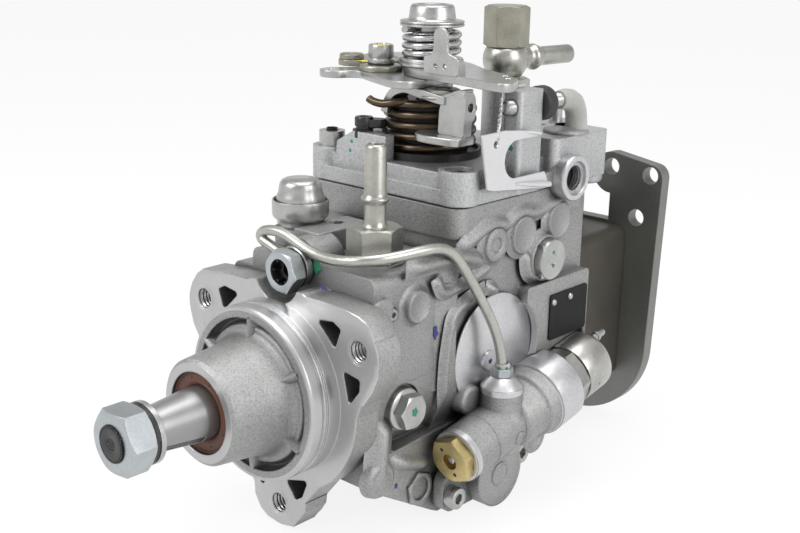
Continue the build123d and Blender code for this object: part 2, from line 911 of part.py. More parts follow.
# Head
def distributor_head():
    y0, y1 = housing_rear_y, head_rear_y
    body = along_y(panel(-head_half, head_half, -head_half, head_half, head_corner_r), y0, y1)
    body += along_y(disc(bore_r - running_gap), head_spigot_front_y, y0)
    body += along_z(disc(boss_r, boss_x, boss_y), 0, boss_top_z)
    body -= along_y(disc(barrel_insert_r), head_spigot_front_y, y1)
    for x, z in head_screw_points():
        body -= along_y(disc(plate_screw_r + screw_gap, x, z), y0, y1)
    for x, z in outlet_points():
        body -= along_y(disc(holder_thread_r + screw_gap, x, z), y1 - 14, y1)
        body -= along_y(disc(valve_r + running_gap, x, z), y1 - 30, y1 - 14)
    body -= along_z(disc(9 + screw_gap, boss_x, boss_y), boss_top_z - 12, boss_top_z)
    return body


def outlet_points():
    return [polar(outlet_circle_r, 45 + 360 / outlet_count * i) for i in range(outlet_count)]


def distributor_barrel():
    face = ring(disc(barrel_insert_r - 0.02), plunger_r + running_gap)
    return along_y(face, head_spigot_front_y, head_rear_y - 10)


def centre_plug():
    y1 = head_rear_y
    body = along_y(disc(barrel_insert_r - screw_gap), y1 - 9.9, y1)
    return body + along_y(hexagon(centre_plug_af), y1, y1 + centre_plug_length)


def delivery_holders():
    made = []
    y1 = head_rear_y
    for x, z in outlet_points():
        one = along_y(disc(holder_thread_r, x, z), y1 - 13.9, y1)
        one += along_y(hexagon(holder_af, x, z), y1, y1 + holder_hex_length)
        one += along_y(disc(holder_thread_r, x, z), y1 + holder_hex_length, y1 + holder_length)
        one -= along_y(disc(holder_bore_r, x, z), y1 - 13.9, y1 + holder_length)
        made.append(one)
    return Compound(made)


def delivery_valves():
    y1 = head_rear_y - 14 - valve_travel - rest_gap
    return Compound([along_y(disc(valve_r, x, z), y1 - valve_length, y1) for x, z in outlet_points()])


def head_screws():
    """Screws through the support plate and the head into the housing."""
    made = []
    y = head_rear_y + plate_thick
    length = plate_thick + (head_rear_y - housing_rear_y) + 7
    for x, z in head_screw_points():
        frame = toward((x, y, z), (0, 1, 0))
        made.append(frame.location * cap_screw(5.0, 5.5, plate_screw_r, length))
    return Compound(made)


def support_plate():
    y0 = head_rear_y
    centre = (plate_low_right_x - plate_bend_r, floor_z + plate_bend_r)
    face = disc(plate_bend_r, *centre)
    ear = outline((plate_neck_x, centre[1]), (plate_low_right_x, centre[1]), (plate_right_x, plate_top_z - 3),
                  (plate_neck_x, plate_top_z + 1))
    face += ear + disc(9.6, plate_neck_x, plate_top_z - 8.8)
    face += panel(plate_left_x, 44, -38, 38, 8)
    face += panel(plate_left_x + 9, 20, floor_z, 0, 8)
    body = along_y(face, y0, y0 + plate_thick)
    corner = body.edges().filter_by(Axis.Y).sort_by(lambda e: e.center().X + e.center().Z)[-1]
    body = fillet(corner, 6)
    body -= along_y(disc(plate_window_r), y0, y0 + plate_thick)
    for x, z in ((47.1, 61.9), (41.3, 41.5), (26.7, 63.2)):
        body -= along_y(disc(plate_hole_r, x, z), y0, y0 + plate_thick)
    for x, z in head_screw_points():
        body -= along_y(disc(plate_screw_r + screw_gap, x, z), y0, y0 + plate_thick)
    return body


def stop_solenoid():
    x, y, z = boss_x, boss_y, boss_top_z
    body = along_z(disc(9, x, y), z - 11.8, z) + along_z(hexagon(24, x, y), z, z + 7)
    body += along_z(disc(10.5, x, y), z + 7, z + 34) + along_z(disc(3, x, y), z + 34, z + 41)
    return body - along_z(disc(4 + running_gap, x, y), z - 11.8, z + 20)


def stop_armature():
    x, y, z = boss_x, boss_y, boss_top_z
    return along_z(disc(4, x, y), z - 11.5, z + 16)


# Cover
def cover_bottom_z():
    return split_z + gasket_thick


def cover_gasket():
    face = cover_plan() - panel(-cavity_half, cavity_half, cavity_front_y, cavity_rear_y, 5)
    face &= panel(-chamber_half, chamber_half, chamber_front_y, housing_rear_y, 6)
    return along_z(face, split_z, cover_bottom_z()) - cover_holes(split_z, cover_bottom_z())


def cover_plan():
    return panel(-cover_half, cover_half, chamber_front_y, cover_rear_y, cover_corner_r)


def governor_cover():
    z0 = cover_bottom_z()
    body = along_z(cover_plan(), z0, z0 + cover_rim)
    inset = 5.0
    upper = panel(-cover_half + inset, cover_half - inset, chamber_front_y + 2, cover_rear_y - inset, 5)
    body += along_z(upper, z0, cover_shelf_z)
    for x, y in cover_screw_points():
        body += along_z(disc(cover_lug_r, x, y), z0, cover_lug_top_z)
    tower = outline((tower_left_x - 1, cover_shelf_z - 2), (tower_left_x, tower_top_z - 5),
                    (tower_left_x + 9, tower_top_z), (tower_right_x, tower_top_z),
                    (tower_right_x, cover_shelf_z - 2))
    body += along_y(tower, chamber_front_y + 2, chamber_front_y + 2 + tower_depth)
    column = panel(stop_column_x - stop_column_w / 2, stop_column_x + stop_column_w / 2,
                   stop_column_y - stop_column_l / 2, stop_column_y + stop_column_l / 2, 2)
    body += along_z(column, z0, stop_column_top_z)
    rear = panel(rear_block_x, cover_half + 1, rear_block_y, rear_block_end_y, 4)
    body += along_z(rear, z0, rear_block_top_z)
    body += along_z(disc(return_boss_r, return_x, return_y), z0, return_seat_z)
    port = along_x(disc(port_r, port_y, port_z), cover_half - 16, cover_half + port_reach)
    inner = Box(60, 200, 2 * z0, align=(Align.MAX, Align.CENTER, Align.CENTER))
    body += port - Pos(chamber_half + rest_gap, 100, 0) * inner
    body -= along_x(disc(port_bore_r, port_y, port_z), cover_half + port_reach - port_depth,
                    cover_half + port_reach)
    room = panel(-cavity_half, cavity_half, cavity_front_y, cavity_rear_y - 22, 5)
    body -= along_z(room, z0, cover_shelf_z - cover_wall)
    body += along_z(disc(throttle_r + 4, throttle_x, throttle_y), z0 + 2, cover_shelf_z)
    body -= along_z(disc(throttle_r + running_gap, throttle_x, throttle_y), z0, cover_shelf_z)
    body -= cover_holes(z0, cover_lug_top_z)
    for x, y in cover_screw_points()[1:]:
        body -= along_z(disc(cover_screw_head_r + rest_gap, x, y), cover_lug_top_z - cover_screw_head,
                        rear_block_top_z + 1)
    return body - return_hole() - bracket_hole() - stop_hole()


def cover_screws():
    made = []
    for index, (x, y) in enumerate(cover_screw_points()):
        z = cover_lug_top_z
        if index > 0:
            z -= cover_screw_head
        screw = cap_screw(cover_screw_head_r, cover_screw_head - 1, cover_screw_r, z - split_z + 13)
        made.append(Pos(x, y, z) * screw)
    return Compound(made)


def return_hole():
    return along_z(disc(fitting_plug_r + screw_gap, return_x, return_y), return_seat_z - 12, return_seat_z)


def bracket_hole():
    return along_z(disc(2.5 + screw_gap, -14, 61.5), tower_top_z - 9, tower_top_z)


def stop_hole():
    y = stop_column_y
    return along_y(disc(stop_screw_r + screw_gap, stop_column_x, stop_screw_z), y - 20, y + 20)


# Throttle
def spring_cup():
    """Cup and sleeve that guide the return spring."""
    z0 = cover_shelf_z
    face = disc(cup_r, throttle_x, throttle_y) - disc(throttle_r + 1, throttle_x, throttle_y)
    body = along_z(face, z0, z0 + cup_height)
    trough = disc(cup_r - cup_wall, throttle_x, throttle_y) - disc(cup_sleeve_r, throttle_x, throttle_y)
    body -= along_z(trough, z0 + cup_wall, z0 + cup_height)
    sleeve = disc(cup_sleeve_r, throttle_x, throttle_y) - disc(throttle_r + 1, throttle_x, throttle_y)
    return body + along_z(sleeve, z0, z0 + cup_sleeve_height)


def return_spring():
    z0 = cover_shelf_z + cup_wall + 0.05
    spring = coil(return_spring_r, return_wire_r, return_pitch, return_turns)
    return Pos(throttle_x, throttle_y, z0) * spring


def throttle_shaft():
    low = cover_bottom_z() + 2
    top = cap_bottom_z() + 5.5
    return along_z(disc(throttle_r, throttle_x, throttle_y), low, top)


def lever_plate():
    """Throttle lever with its arm, stop bracket, tab and hub in one welded piece."""
    z0 = lever_plate_z
    top = z0 + lever_plate_thick
    x, y = throttle_x, throttle_y
    blade = outline((-7, 74), (4, 63.5), (45, 63.5), (47, 70), (16, 94), (-20, 122), (-37, 108), (-26, 90), corner=3)
    body = along_z(blade, z0, top)
    arm = outline((-43, 66), (-52, 84), (-45, 88), (-30, 80), (-12, 96), (6, 66), (8, 57), corner=3)
    body += along_z(arm, z0 - 3, z0)
    body += along_z(disc(spring_disc_r, x, y), top, upper_spring_z)
    body += along_z(disc(9.0, x, y), z0 - 8, z0)
    body += along_x(panel(69.5, 72.5, 90, z0), 17, 33)
    body += along_z(panel(17, 34, 60, 72.5, 4), 88, 91.2)
    tab = panel(8, 21, z0, z0 + 9) + panel(12.2, 16.8, z0, z0 + 19)
    body += along_y(tab, 66.0, 67.6)
    body -= along_y(disc(0.9, 12.4, z0 + 5) + disc(0.9, 16.6, z0 + 5), 66, 67.6)
    return body - along_z(disc(throttle_r + 0.02, x, y), z0 - 8, upper_spring_z)


def lever_bolt():
    """Bolt on a round foot and a small rivet on the lever's arm."""
    z = lever_plate_z
    foot = along_z(disc(8.5, -23, 88), z + lever_plate_thick, z + lever_plate_thick + 2.5)
    foot += along_z(disc(4.9, -23, 88), z + lever_plate_thick + 2.5, z + lever_plate_thick + 10)
    rivet = along_z(disc(3.2, -41, 78), z, z + 2.4)
    return Compound([foot, rivet])


def upper_spring():
    spring = coil(upper_spring_r, upper_wire_r, upper_pitch, upper_turns)
    return Pos(throttle_x, throttle_y, upper_spring_z) * spring


def cap_bottom_z():
    return upper_spring_z + upper_pitch * upper_turns + 2 * upper_wire_r + 0.1


def spring_cap():
    z0 = cap_bottom_z()
    body = along_z(disc(spring_disc_r, throttle_x, throttle_y), z0, z0 + spring_disc_thick)
    top = z0 + spring_disc_thick + spring_cap_height
    body += along_z(disc(spring_cap_r, throttle_x, throttle_y), z0 + spring_disc_thick, top)
    return body - along_z(disc(throttle_r + 0.02, throttle_x, throttle_y), z0, z0 + 6)


# Fittings
def inlet_connector():
    """Fuel feed connector: threaded plug, hexagon and a beaded tube."""
    x, y, z = inlet_x, inlet_y, inlet_seat_z
    tube_z = z + inlet_hex_height
    body = along_z(disc(fitting_plug_r, x, y), z - fitting_plug_length, z)
    body += along_z(hexagon(hex_large_af, x, y, 12), z, tube_z)
    body += along_z(disc(inlet_tube_r, x, y), tube_z, z + inlet_height)
    body += along_z(disc(inlet_bead_r, x, y), z + inlet_bead_z, z + inlet_bead_z + 2)
    return body - along_z(disc(inlet_bore_r, x, y), z - fitting_plug_length, z + inlet_height)


def union_bolt():
    """Hollow union bolt, its head in the flange's notch."""
    x, z = union_x, union_z
    y1 = flange_thick - banjo_thick
    body = along_y(hexagon(hex_large_af, x, z), y1 - union_head, y1)
    return body + along_y(disc(union_bore_r, x, z), y1, flange_thick + union_bore_length - 0.2)


def advance_pipe():
    """Banjo ring, bent pipe and nut that feed the advance unit."""
    x, z = union_x, union_z
    y1 = flange_thick
    y0 = y1 - banjo_thick
    route = [(x - 7, y0 + 1, z + 6), (x - 12, y0 + 1, z + 11), (x - 7, y0 + 2, z + 12), (x + 14, 9.5, z + 7.4),
             (x + 29, 10, z + 7.8), (40, 22, z + 9.3), (43.5, 42, z + 9.3), (44.5, 52, z + 3.8),
             (46, 62, 35), (48.6, column_y - 2.8, 14), (advance_x, column_y, 6),
             (advance_x, column_y, column_top_z + 5)]
    path = FilletPolyline(*route, radius=pipe_r + 0.1)
    tube = sweep(Plane(origin=path @ 0, z_dir=path % 0) * Circle(pipe_r), path=path)
    body = along_y(disc(banjo_r, x, z) - disc(union_bore_r + screw_gap, x, z), y0, y1)
    nut_face = hexagon(pipe_nut_af, advance_x, column_y) - disc(pipe_r - 0.3, advance_x, column_y)
    return body + tube + along_z(nut_face, column_top_z, column_top_z + pipe_nut_height)


def pressure_hole():
    return along_z(disc(valve_plug_r + screw_gap, valve_x, valve_y), valve_seat_z - 10, valve_seat_z)


def pressure_valve():
    """Transfer pressure valve: plug, base, cup and domed cap."""
    z = valve_seat_z
    body = along_z(disc(valve_plug_r, valve_x, valve_y), z - 9.8, z)
    body += along_z(disc(valve_base_r, valve_x, valve_y), z, z + 4)
    body += along_z(disc(valve_cup_r, valve_x, valve_y), z + 4, z + 12)
    dome = along_z(disc(valve_cap_r, valve_x, valve_y), z + 12, z + 19.4)
    return body + fillet(dome.edges().group_by(Axis.Z)[-1], 1.5)


def lock_bolt():
    """Bolt that locks the shaft for fitting, on a washer face."""
    frame = toward((lock_seat_x, lock_y, lock_z), (1, 0, 0))
    return frame.location * hex_screw(hex_medium_af, 8.0, 8.5, 2.0, lock_screw_r, lock_screw_length)


def side_plug():
    x1 = chamber_half + 2
    body = along_x(disc(plug_r, plug_y, plug_z), x1 - plug_length, x1)
    return body + along_x(hexagon(plug_head_af, plug_y, plug_z), x1, x1 + plug_head)


def label_plate():
    """Bare identification plate on the housing's pad."""
    return along_x(panel(label_y0, label_y1, label_z0, label_z1, 1.5), pad_x, pad_x + label_thick)


def return_union():
    """Ball-shaped union on a hexagon, with a barbed outlet to the rear."""
    x, y, z = return_x, return_y, return_seat_z
    hex_z = z + return_hex_height
    body = along_z(disc(fitting_plug_r, x, y), z - fitting_plug_length, z)
    body += along_z(hexagon(return_hex_af, x, y, 12), z, hex_z)
    body += along_z(disc(return_neck_r, x, y), hex_z, hex_z + 4)
    ball = Pos(x, y, z + return_ball_z) * Sphere(return_ball_r)
    body += ball & along_z(disc(2 * return_ball_r, x, y), hex_z, z + return_bolt_seat)
    frame = toward((x, y, z + return_ball_z), (0.27, 0.963, 0.03))
    barb = lathe(barb_r, 6, barb_length) + lathe(barb_bead_r, 12, 17)
    return body + frame.location * barb


def return_bolt():
    """Hexagon cap on the return union, its top edge turned."""
    x, y, z = return_x, return_y, return_seat_z + return_bolt_seat
    top = z + return_bolt_height
    tip_r = hex_large_af / math.sqrt(3)
    envelope = along_z(disc(tip_r, x, y), z, top - 1.2) + along_z(disc(tip_r - 1, x, y), z, top)
    return along_z(hexagon(hex_large_af, x, y, 12), z, top) & envelope


# Advance unit


def advance_frame():
    turn = math.radians(advance_tilt)
    return toward((advance_x, advance_front_y, advance_front_z), (0, math.cos(turn), math.sin(turn)), (1, 0, 0))


def lathe(radius, s0, s1):
    """A cylinder along the advance unit's axis."""
    return Pos(0, 0, s0) * Cylinder(radius, s1 - s0, align=(Align.CENTER, Align.CENTER, Align.MIN))


def advance_core(extra):
    """The unit's turned outside, grown by a clearance."""
    core = lathe(advance_stem_r + extra, advance_rim_at - extra, advance_middle_at)
    core += lathe(advance_middle_r + extra, advance_middle_at, advance_collar_at + 0.3)
    return core + lathe(advance_collar_r + extra, advance_collar_at, advance_can_at)


def advance_room():
    """Room left in the housing's side for the advance unit."""
    can = lathe(advance_can_r + rest_gap, advance_can_at, advance_can_end + 5)
    return advance_frame().location * (advance_core(rest_gap) + can)


def advance_body():
    """Body of the advance unit with its column, round end and mounting lug."""
    x0 = timing_half + 2
    lug_x = x0 + advance_lug_thick
    body = advance_frame().location * advance_core(0.0)
    body += along_z(disc(column_r, advance_x, column_y), timing_z + 10, column_top_z)
    body += along_x(disc(advance_disc_r, timing_y, timing_z - 1), x0, advance_x + 2)
    lug = panel(advance_lug_y0, advance_lug_y1, advance_lug_z0, advance_lug_z1, 6)
    body += along_x(lug, x0, lug_x)
    plug_end = advance_rim_at + advance_plug_length
    body -= advance_frame().location * lathe(advance_plug_r + screw_gap, advance_rim_at - 0.1, plug_end)
    return body - advance_holes() - along_z(disc(union_bore_r, advance_x, column_y), column_top_z - 9, column_top_z)


def advance_screw_points():
    return [(advance_lug_y0 + 4.5, advance_lug_z0 + 7.2), (advance_lug_y1 - 5.0, advance_lug_z1 - 5.0)]


def advance_holes():
    made = Part()
    x1 = timing_half + 2 + advance_lug_thick
    for y, z in advance_screw_points():
        made += along_x(disc(advance_screw_r + screw_gap, y, z), timing_half - advance_screw_depth, x1)
    return made


def advance_screws():
    made = []
    x1 = timing_half + 2 + advance_lug_thick
    for y, z in advance_screw_points():
        frame = toward((x1, y, z), (1, 0, 0))
        made.append(frame.location * cap_screw(advance_screw_head_r, 4.5, advance_screw_r, 14))
    return Compound(made)


def advance_plug():
    """Hexagon plug with a stepped bore in the unit's front end."""
    head = extrude(Plane.XY.offset(-1) * hexagon(hex_large_af), advance_rim_at + 1)
    stem = lathe(advance_plug_r, advance_rim_at, advance_rim_at + advance_plug_length - 0.1)
    return advance_frame().location * (stem + head - lathe(advance_bore_r, -1, 6))


def advance_solenoid():
    """Solenoid can with its terminal pin at the rear."""
    can = lathe(advance_can_r - 0.6, advance_can_at, advance_can_at + 1.2)
    can += lathe(advance_can_r, advance_can_at + 1.2, advance_can_end)
    can = fillet(can.edges().group_by(Axis.Z)[-1], 1.5)
    pin = lathe(terminal_base_r, advance_can_end, advance_can_end + 3)
    pin += lathe(terminal_r, advance_can_end + 3, advance_can_end + terminal_length)
    return advance_frame().location * (can + Pos(0, terminal_up, 0) * pin)


def timing_cover():
    """Cover over the other end of the timing bore."""
    lug = panel(advance_lug_y0, advance_lug_y1, advance_lug_z0, advance_lug_z1, 6)
    face = disc(timing_wall, timing_y, timing_z) + lug
    return along_x(face, -timing_half - 2 - timing_cover_thick, -timing_half - 2)


def id_tag():
    """Metal tag with an open slot, and the wire that hangs it over the cover's column."""
    x = cover_half + 2.9
    blank = outline((61.6, 94.3), (75.5, 94.6), (91.2, 92.8), (96.2, 91.4), (99.5, 80), (104.3, 71.6),
                    (104.4, 68.3), (69.4, 72.2), (66, 73.1), corner=0.6)
    opening = panel(tag_slot_y, tag_slot_y + 25, tag_slot_z - tag_slot_r, tag_slot_z + tag_slot_r)
    opening += disc(tag_slot_r, tag_slot_y, tag_slot_z)
    body = along_x(blank - opening - disc(tag_hole_r, tag_hole_y, tag_hole_z), x, x + tag_thick)
    column_front = stop_column_y - stop_column_l / 2
    wire_x = stop_column_x - stop_column_w / 2 + 1.5
    top = stop_column_top_z + wire_r + rest_gap
    knot = (x + tag_thick / 2, tag_hole_y + 0.8, tag_hole_z + tag_hole_r + 0.8)
    route = [knot, (x - 0.8, tag_hole_y + 4, 97), (wire_x + 2, column_front - 5, top - 1),
             (wire_x, column_front + 2, top), (wire_x, column_front + 12, top)]
    path = FilletPolyline(*route, radius=wire_bend_r)
    return body + sweep(Plane(origin=path @ 0, z_dir=path % 0) * Circle(wire_r), path=path)


def stop_screw():
    """Full-load stop screw through the cover's column, with a domed head."""
    x, z = stop_column_x, stop_screw_z
    front = stop_column_y - stop_column_l / 2
    rear = stop_column_y + stop_column_l / 2
    body = along_y(disc(stop_screw_r, x, z), front - 1, rear + stop_stud_length)
    head = Pos(x, front, z) * Sphere(stop_dome_r)
    return body + (head & along_y(disc(2 * stop_dome_r, x, z), front - 2 * stop_dome_r, front))


def stop_cap():
    """Rubber ring behind the column, round the stop screw."""
    x, z = stop_column_x, stop_screw_z
    rear = stop_column_y + stop_column_l / 2
    body = along_y(disc(stop_ring_r, x, z), rear, rear + stop_ring_length)
    body = fillet(body.edges().group_by(Axis.Y)[-1], 1.5)
    return body - along_y(disc(stop_screw_r + 0.02, x, z), rear, rear + stop_ring_length)


def save(name, shape):
    export_step(Compound(shape.solids()) if len(shape.solids()) > 1 else shape.solid(), f"parts/{name}.step")


def main():
    os.makedirs("parts", exist_ok=True)
    nodes = {
        "drive_shaft": drive_shaft(),
        "shaft_nut": shaft_nut(),
        "shaft_washers": shaft_washers(),
        "vane_rotor": vane_rotor(),
        "vanes": vanes(),
        "drive_gear": drive_gear(),
        "cross_disc": cross_disc(),
        "cam_plate": cam_plate(),
        "plunger": plunger(),
        "governor_shaft": governor_shaft(),
        "weight_carrier": weight_carrier(),
        "flyweights": flyweights(),
        "governor_sleeve": governor_sleeve(),
        "governor_lever": governor_lever(),
        "lever_pin": lever_pin(),
        "control_collar": control_collar(),
        "timing_piston": timing_piston(),
        "roller_ring": roller_ring(),
        "rollers": rollers(),
        "eccentric_ring": eccentric_ring(),
        "vane_pump_cover": vane_cover(),
        "shaft_seal": shaft_seal(),
        "shaft_bushes": bushes(),
        "pump_housing": pump_housing(),
        "distributor_head": distributor_head(),
        "distributor_barrel": distributor_barrel(),
        "centre_plug": centre_plug(),
        "delivery_holders": delivery_holders(),
        "delivery_valves": delivery_valves(),
        "head_screws": head_screws(),
        "support_plate": support_plate(),
        "stop_solenoid": stop_solenoid(),
        "stop_armature": stop_armature(),
        "cover_gasket": cover_gasket(),
        "governor_cover": governor_cover(),
        "cover_screws": cover_screws(),
        "spring_cup": spring_cup(),
        "return_spring": return_spring(),
        "throttle_shaft": throttle_shaft(),
        "lever_plate": lever_plate(),
        "upper_spring": upper_spring(),
        "spring_cap": spring_cap(),
        "inlet_connector": inlet_connector(),
        "union_bolt": union_bolt(),
        "advance_pipe": advance_pipe(),
        "pressure_valve": pressure_valve(),
        "lock_bolt": lock_bolt(),
        "side_plug": side_plug(),
        "label_plate": label_plate(),
        "return_union": return_union(),
        "return_bolt": return_bolt(),
        "lever_bolt": lever_bolt(),
        "id_tag": id_tag(),
        "stop_screw": stop_screw(),
        "stop_cap": stop_cap(),
        "advance_body": advance_body(),
        "advance_screws": advance_screws(),
        "advance_plug": advance_plug(),
        "advance_solenoid": advance_solenoid(),
        "timing_cover": timing_cover(),
    }
    for name, shape in nodes.items():
        save(name, shape)


main()
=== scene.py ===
import bpy
import bmesh
import math
from mathutils import Matrix, Vector


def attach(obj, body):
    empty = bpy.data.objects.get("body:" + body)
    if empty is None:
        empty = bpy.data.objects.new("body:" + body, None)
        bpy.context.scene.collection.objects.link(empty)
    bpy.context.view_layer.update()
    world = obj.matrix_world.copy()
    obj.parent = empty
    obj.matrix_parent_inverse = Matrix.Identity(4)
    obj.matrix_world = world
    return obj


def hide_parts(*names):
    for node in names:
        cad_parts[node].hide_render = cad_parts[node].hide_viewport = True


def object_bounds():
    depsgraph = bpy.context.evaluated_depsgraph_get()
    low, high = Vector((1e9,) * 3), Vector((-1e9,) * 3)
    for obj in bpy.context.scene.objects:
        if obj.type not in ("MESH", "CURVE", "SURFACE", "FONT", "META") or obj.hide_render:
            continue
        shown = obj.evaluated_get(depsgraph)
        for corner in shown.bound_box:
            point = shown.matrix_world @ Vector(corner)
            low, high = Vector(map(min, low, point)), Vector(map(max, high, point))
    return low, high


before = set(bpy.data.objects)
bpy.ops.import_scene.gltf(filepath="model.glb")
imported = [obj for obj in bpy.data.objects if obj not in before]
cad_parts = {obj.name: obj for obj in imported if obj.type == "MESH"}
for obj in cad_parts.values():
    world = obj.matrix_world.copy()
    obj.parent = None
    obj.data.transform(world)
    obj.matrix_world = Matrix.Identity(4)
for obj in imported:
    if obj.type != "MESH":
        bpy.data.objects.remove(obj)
cad_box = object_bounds()
MM = 0.001
X, Y, Z = (1, 0, 0), (0, 1, 0), (0, 0, 1)

# Places that several pieces share, in millimetres in the part's frame
FLANGE_BOLT_R = 49.5
KEYWAY_TURN = -43.0
LOCK_BOLT = (0, 28.5, -6.5)
SIDE_SCREW = (0, 21.2, 32.6)
LOWER_SCREW = (0, 50.5, -48.8)
PRESSURE_VALVE = (-20, 31, 0)
UNION = (0.6, 44.6)
THROTTLE = (0.0, 84.5)
CAP_Z = 129.9
STOP_AXIS = (38.0, 101.0)
COLUMN = (50.0, 74.8, 0)
PIPE_END = (49.9, 74.8, 0)
ADVANCE_FRONT = (50.0, 44.5, -29.9)
ADVANCE_TILT = 11.0
LOWER_DISC = (52.0, 73.5, -45.0)
LABEL_X = 44.5

# The camera behind the photograph: degrees, millimetres and metres
VIEW_TURN, VIEW_RISE, VIEW_ROLL = 42.289, 16.502, 1.034
SENSOR, LENS = 36.0, 53.42
CAMERA_AT = (0.31624, -0.27970, 0.17216)


# Node helpers
def new_material(name):
    """A material with its node tree and its main shader."""
    mat = bpy.data.materials.new(name)
    mat.use_nodes = True
    return mat, mat.node_tree, mat.node_tree.nodes["Principled BSDF"]


def feed(tree, socket, value):
    """Give a socket another socket, a colour or a number."""
    if isinstance(value, bpy.types.NodeSocket):
        tree.links.new(value, socket)
    elif isinstance(value, tuple):
        socket.default_value = (*value, 1.0)
    else:
        socket.default_value = value


def node(tree, kind, **inputs):
    """A new shader node with its inputs set; an underscore stands for the blank in an input's name."""
    made = tree.nodes.new("ShaderNode" + kind)
    for label, value in inputs.items():
        feed(tree, made.inputs[label.replace("_", " ")], value)
    return made


def noise(tree, scale, detail, rough):
    """Noise in the object's own space."""
    coord = node(tree, "TexCoord")
    made = node(tree, "TexNoise", Scale=scale, Detail=detail, Roughness=rough, Vector=coord.outputs["Object"])
    return made.outputs["Fac"]


def ramp(tree, source, stops):
    """Colours at places along a value."""
    made = node(tree, "ValToRGB", Fac=source)
    band = made.color_ramp
    while len(band.elements) < len(stops):
        band.elements.new(0.5)
    for element, (place, colour) in zip(band.elements, stops):
        element.position = place
        element.color = (*colour, 1.0)
    return made.outputs["Color"]


def grey(value):
    return (value, value, value)


def shade(colour, factor):
    """A colour made lighter or darker."""
    return tuple(min(1.0, c * factor) for c in colour)


def maths(tree, kind, *values):
    """A maths node on numbers or sockets."""
    made = node(tree, "Math")
    made.operation = kind
    for socket, value in zip(made.inputs, values):
        feed(tree, socket, value)
    return made.outputs[0]


def blend(tree, share, a, b, kind="MIX"):
    """A mix of two colours."""
    made = node(tree, "Mix")
    made.data_type = "RGBA"
    made.blend_type = kind
    for label, value in (("Factor", share), ("A", a), ("B", b)):
        feed(tree, made.inputs[label], value)
    return made.outputs["Result"]


def to_range(tree, source, low, high):
    return node(tree, "MapRange", To_Min=low, To_Max=high, Value=source).outputs["Result"]


def bumped(tree, shader, height, depth, soft):
    """Bump from a height, over edges rounded by the soft radius."""
    bump = node(tree, "Bump", Strength=1.0, Distance=depth, Height=height)
    if soft > 0:
        edge = node(tree, "Bevel", Radius=soft)
        edge.samples = 4
        tree.links.new(edge.outputs["Normal"], bump.inputs["Normal"])
    tree.links.new(bump.outputs["Normal"], shader.inputs["Normal"])


# Materials
def metal(name, colour, rough, grain=1500.0, depth=0.00006, spread=0.10, metallic=0.9, blotch=45.0,
          rough_spread=0.08, soft=0.0, speck=0.80):
    """Metal with blotches and a fine grain; soft rounds its edges in the shading."""
    mat, tree, shader = new_material(name)
    shader.inputs["Metallic"].default_value = metallic
    wide = noise(tree, blotch, 3.0, 0.55)
    fine = noise(tree, grain, 3.0, 0.65)
    base = ramp(tree, wide, [(0.3, shade(colour, 1 - spread)), (0.7, shade(colour, 1 + spread))])
    grains = ramp(tree, fine, [(0.35, grey(speck)), (0.68, grey(1.0))])
    feed(tree, shader.inputs["Base Color"], blend(tree, 0.6, base, grains, "MULTIPLY"))
    roughness = to_range(tree, fine, max(0.03, rough - rough_spread), rough + rough_spread)
    feed(tree, shader.inputs["Roughness"], roughness)
    bumped(tree, shader, fine, depth, soft)
    return mat


def casting(name, colour, rough, machined=None, soft=0.0009, turned_grey=0.53):
    """Sand-textured cast metal with painted shade in its hollows; machined() masks its turned and milled
    faces.
    """
    sand_depth = 0.00022
    mat, tree, shader = new_material(name)
    shader.inputs["Metallic"].default_value = 0.9
    wide = noise(tree, 30.0, 4.0, 0.6)
    sand = noise(tree, 1250.0, 4.0, 0.75)
    sparkle = noise(tree, 2600.0, 1.0, 0.4)
    base = ramp(tree, wide, [(0.30, shade(colour, 0.92)), (0.70, shade(colour, 1.08))])
    grains = ramp(tree, sand, [(0.34, grey(0.52)), (0.52, grey(0.90)), (0.72, grey(1.0))])
    glints = ramp(tree, sparkle, [(0.66, grey(0.0)), (0.76, grey(0.55))])
    surface = blend(tree, glints, blend(tree, 0.8, base, grains, "MULTIPLY"), grey(0.72))
    # Painted shade: ambient occlusion darkens the colour in hollows and crevices
    hollow = node(tree, "AmbientOcclusion", Distance=0.010)
    hollow.samples = 6
    painted_hollow_shade = ramp(tree, hollow.outputs["AO"], [(0.20, grey(0.48)), (0.80, grey(1.0))])
    surface = blend(tree, 1.0, surface, painted_hollow_shade, "MULTIPLY")
    roughness = to_range(tree, sand, rough - 0.08, rough + 0.10)
    depth = sand_depth
    if machined:
        split = node(tree, "SeparateXYZ", Vector=node(tree, "TexCoord").outputs["Object"])
        mask = machined(lambda kind, *values: maths(tree, kind, *values), *split.outputs)
        faint = ramp(tree, wide, [(0.35, grey(turned_grey - 0.06)), (0.65, grey(turned_grey))])
        surface = blend(tree, mask, surface, faint)
        roughness = blend(tree, mask, roughness, grey(0.36))
        depth = maths(tree, "MULTIPLY", maths(tree, "SUBTRACT", 1.0, mask), sand_depth)
    bumped(tree, shader, sand, depth, soft)
    feed(tree, shader.inputs["Base Color"], surface)
    feed(tree, shader.inputs["Roughness"], roughness)
    return mat


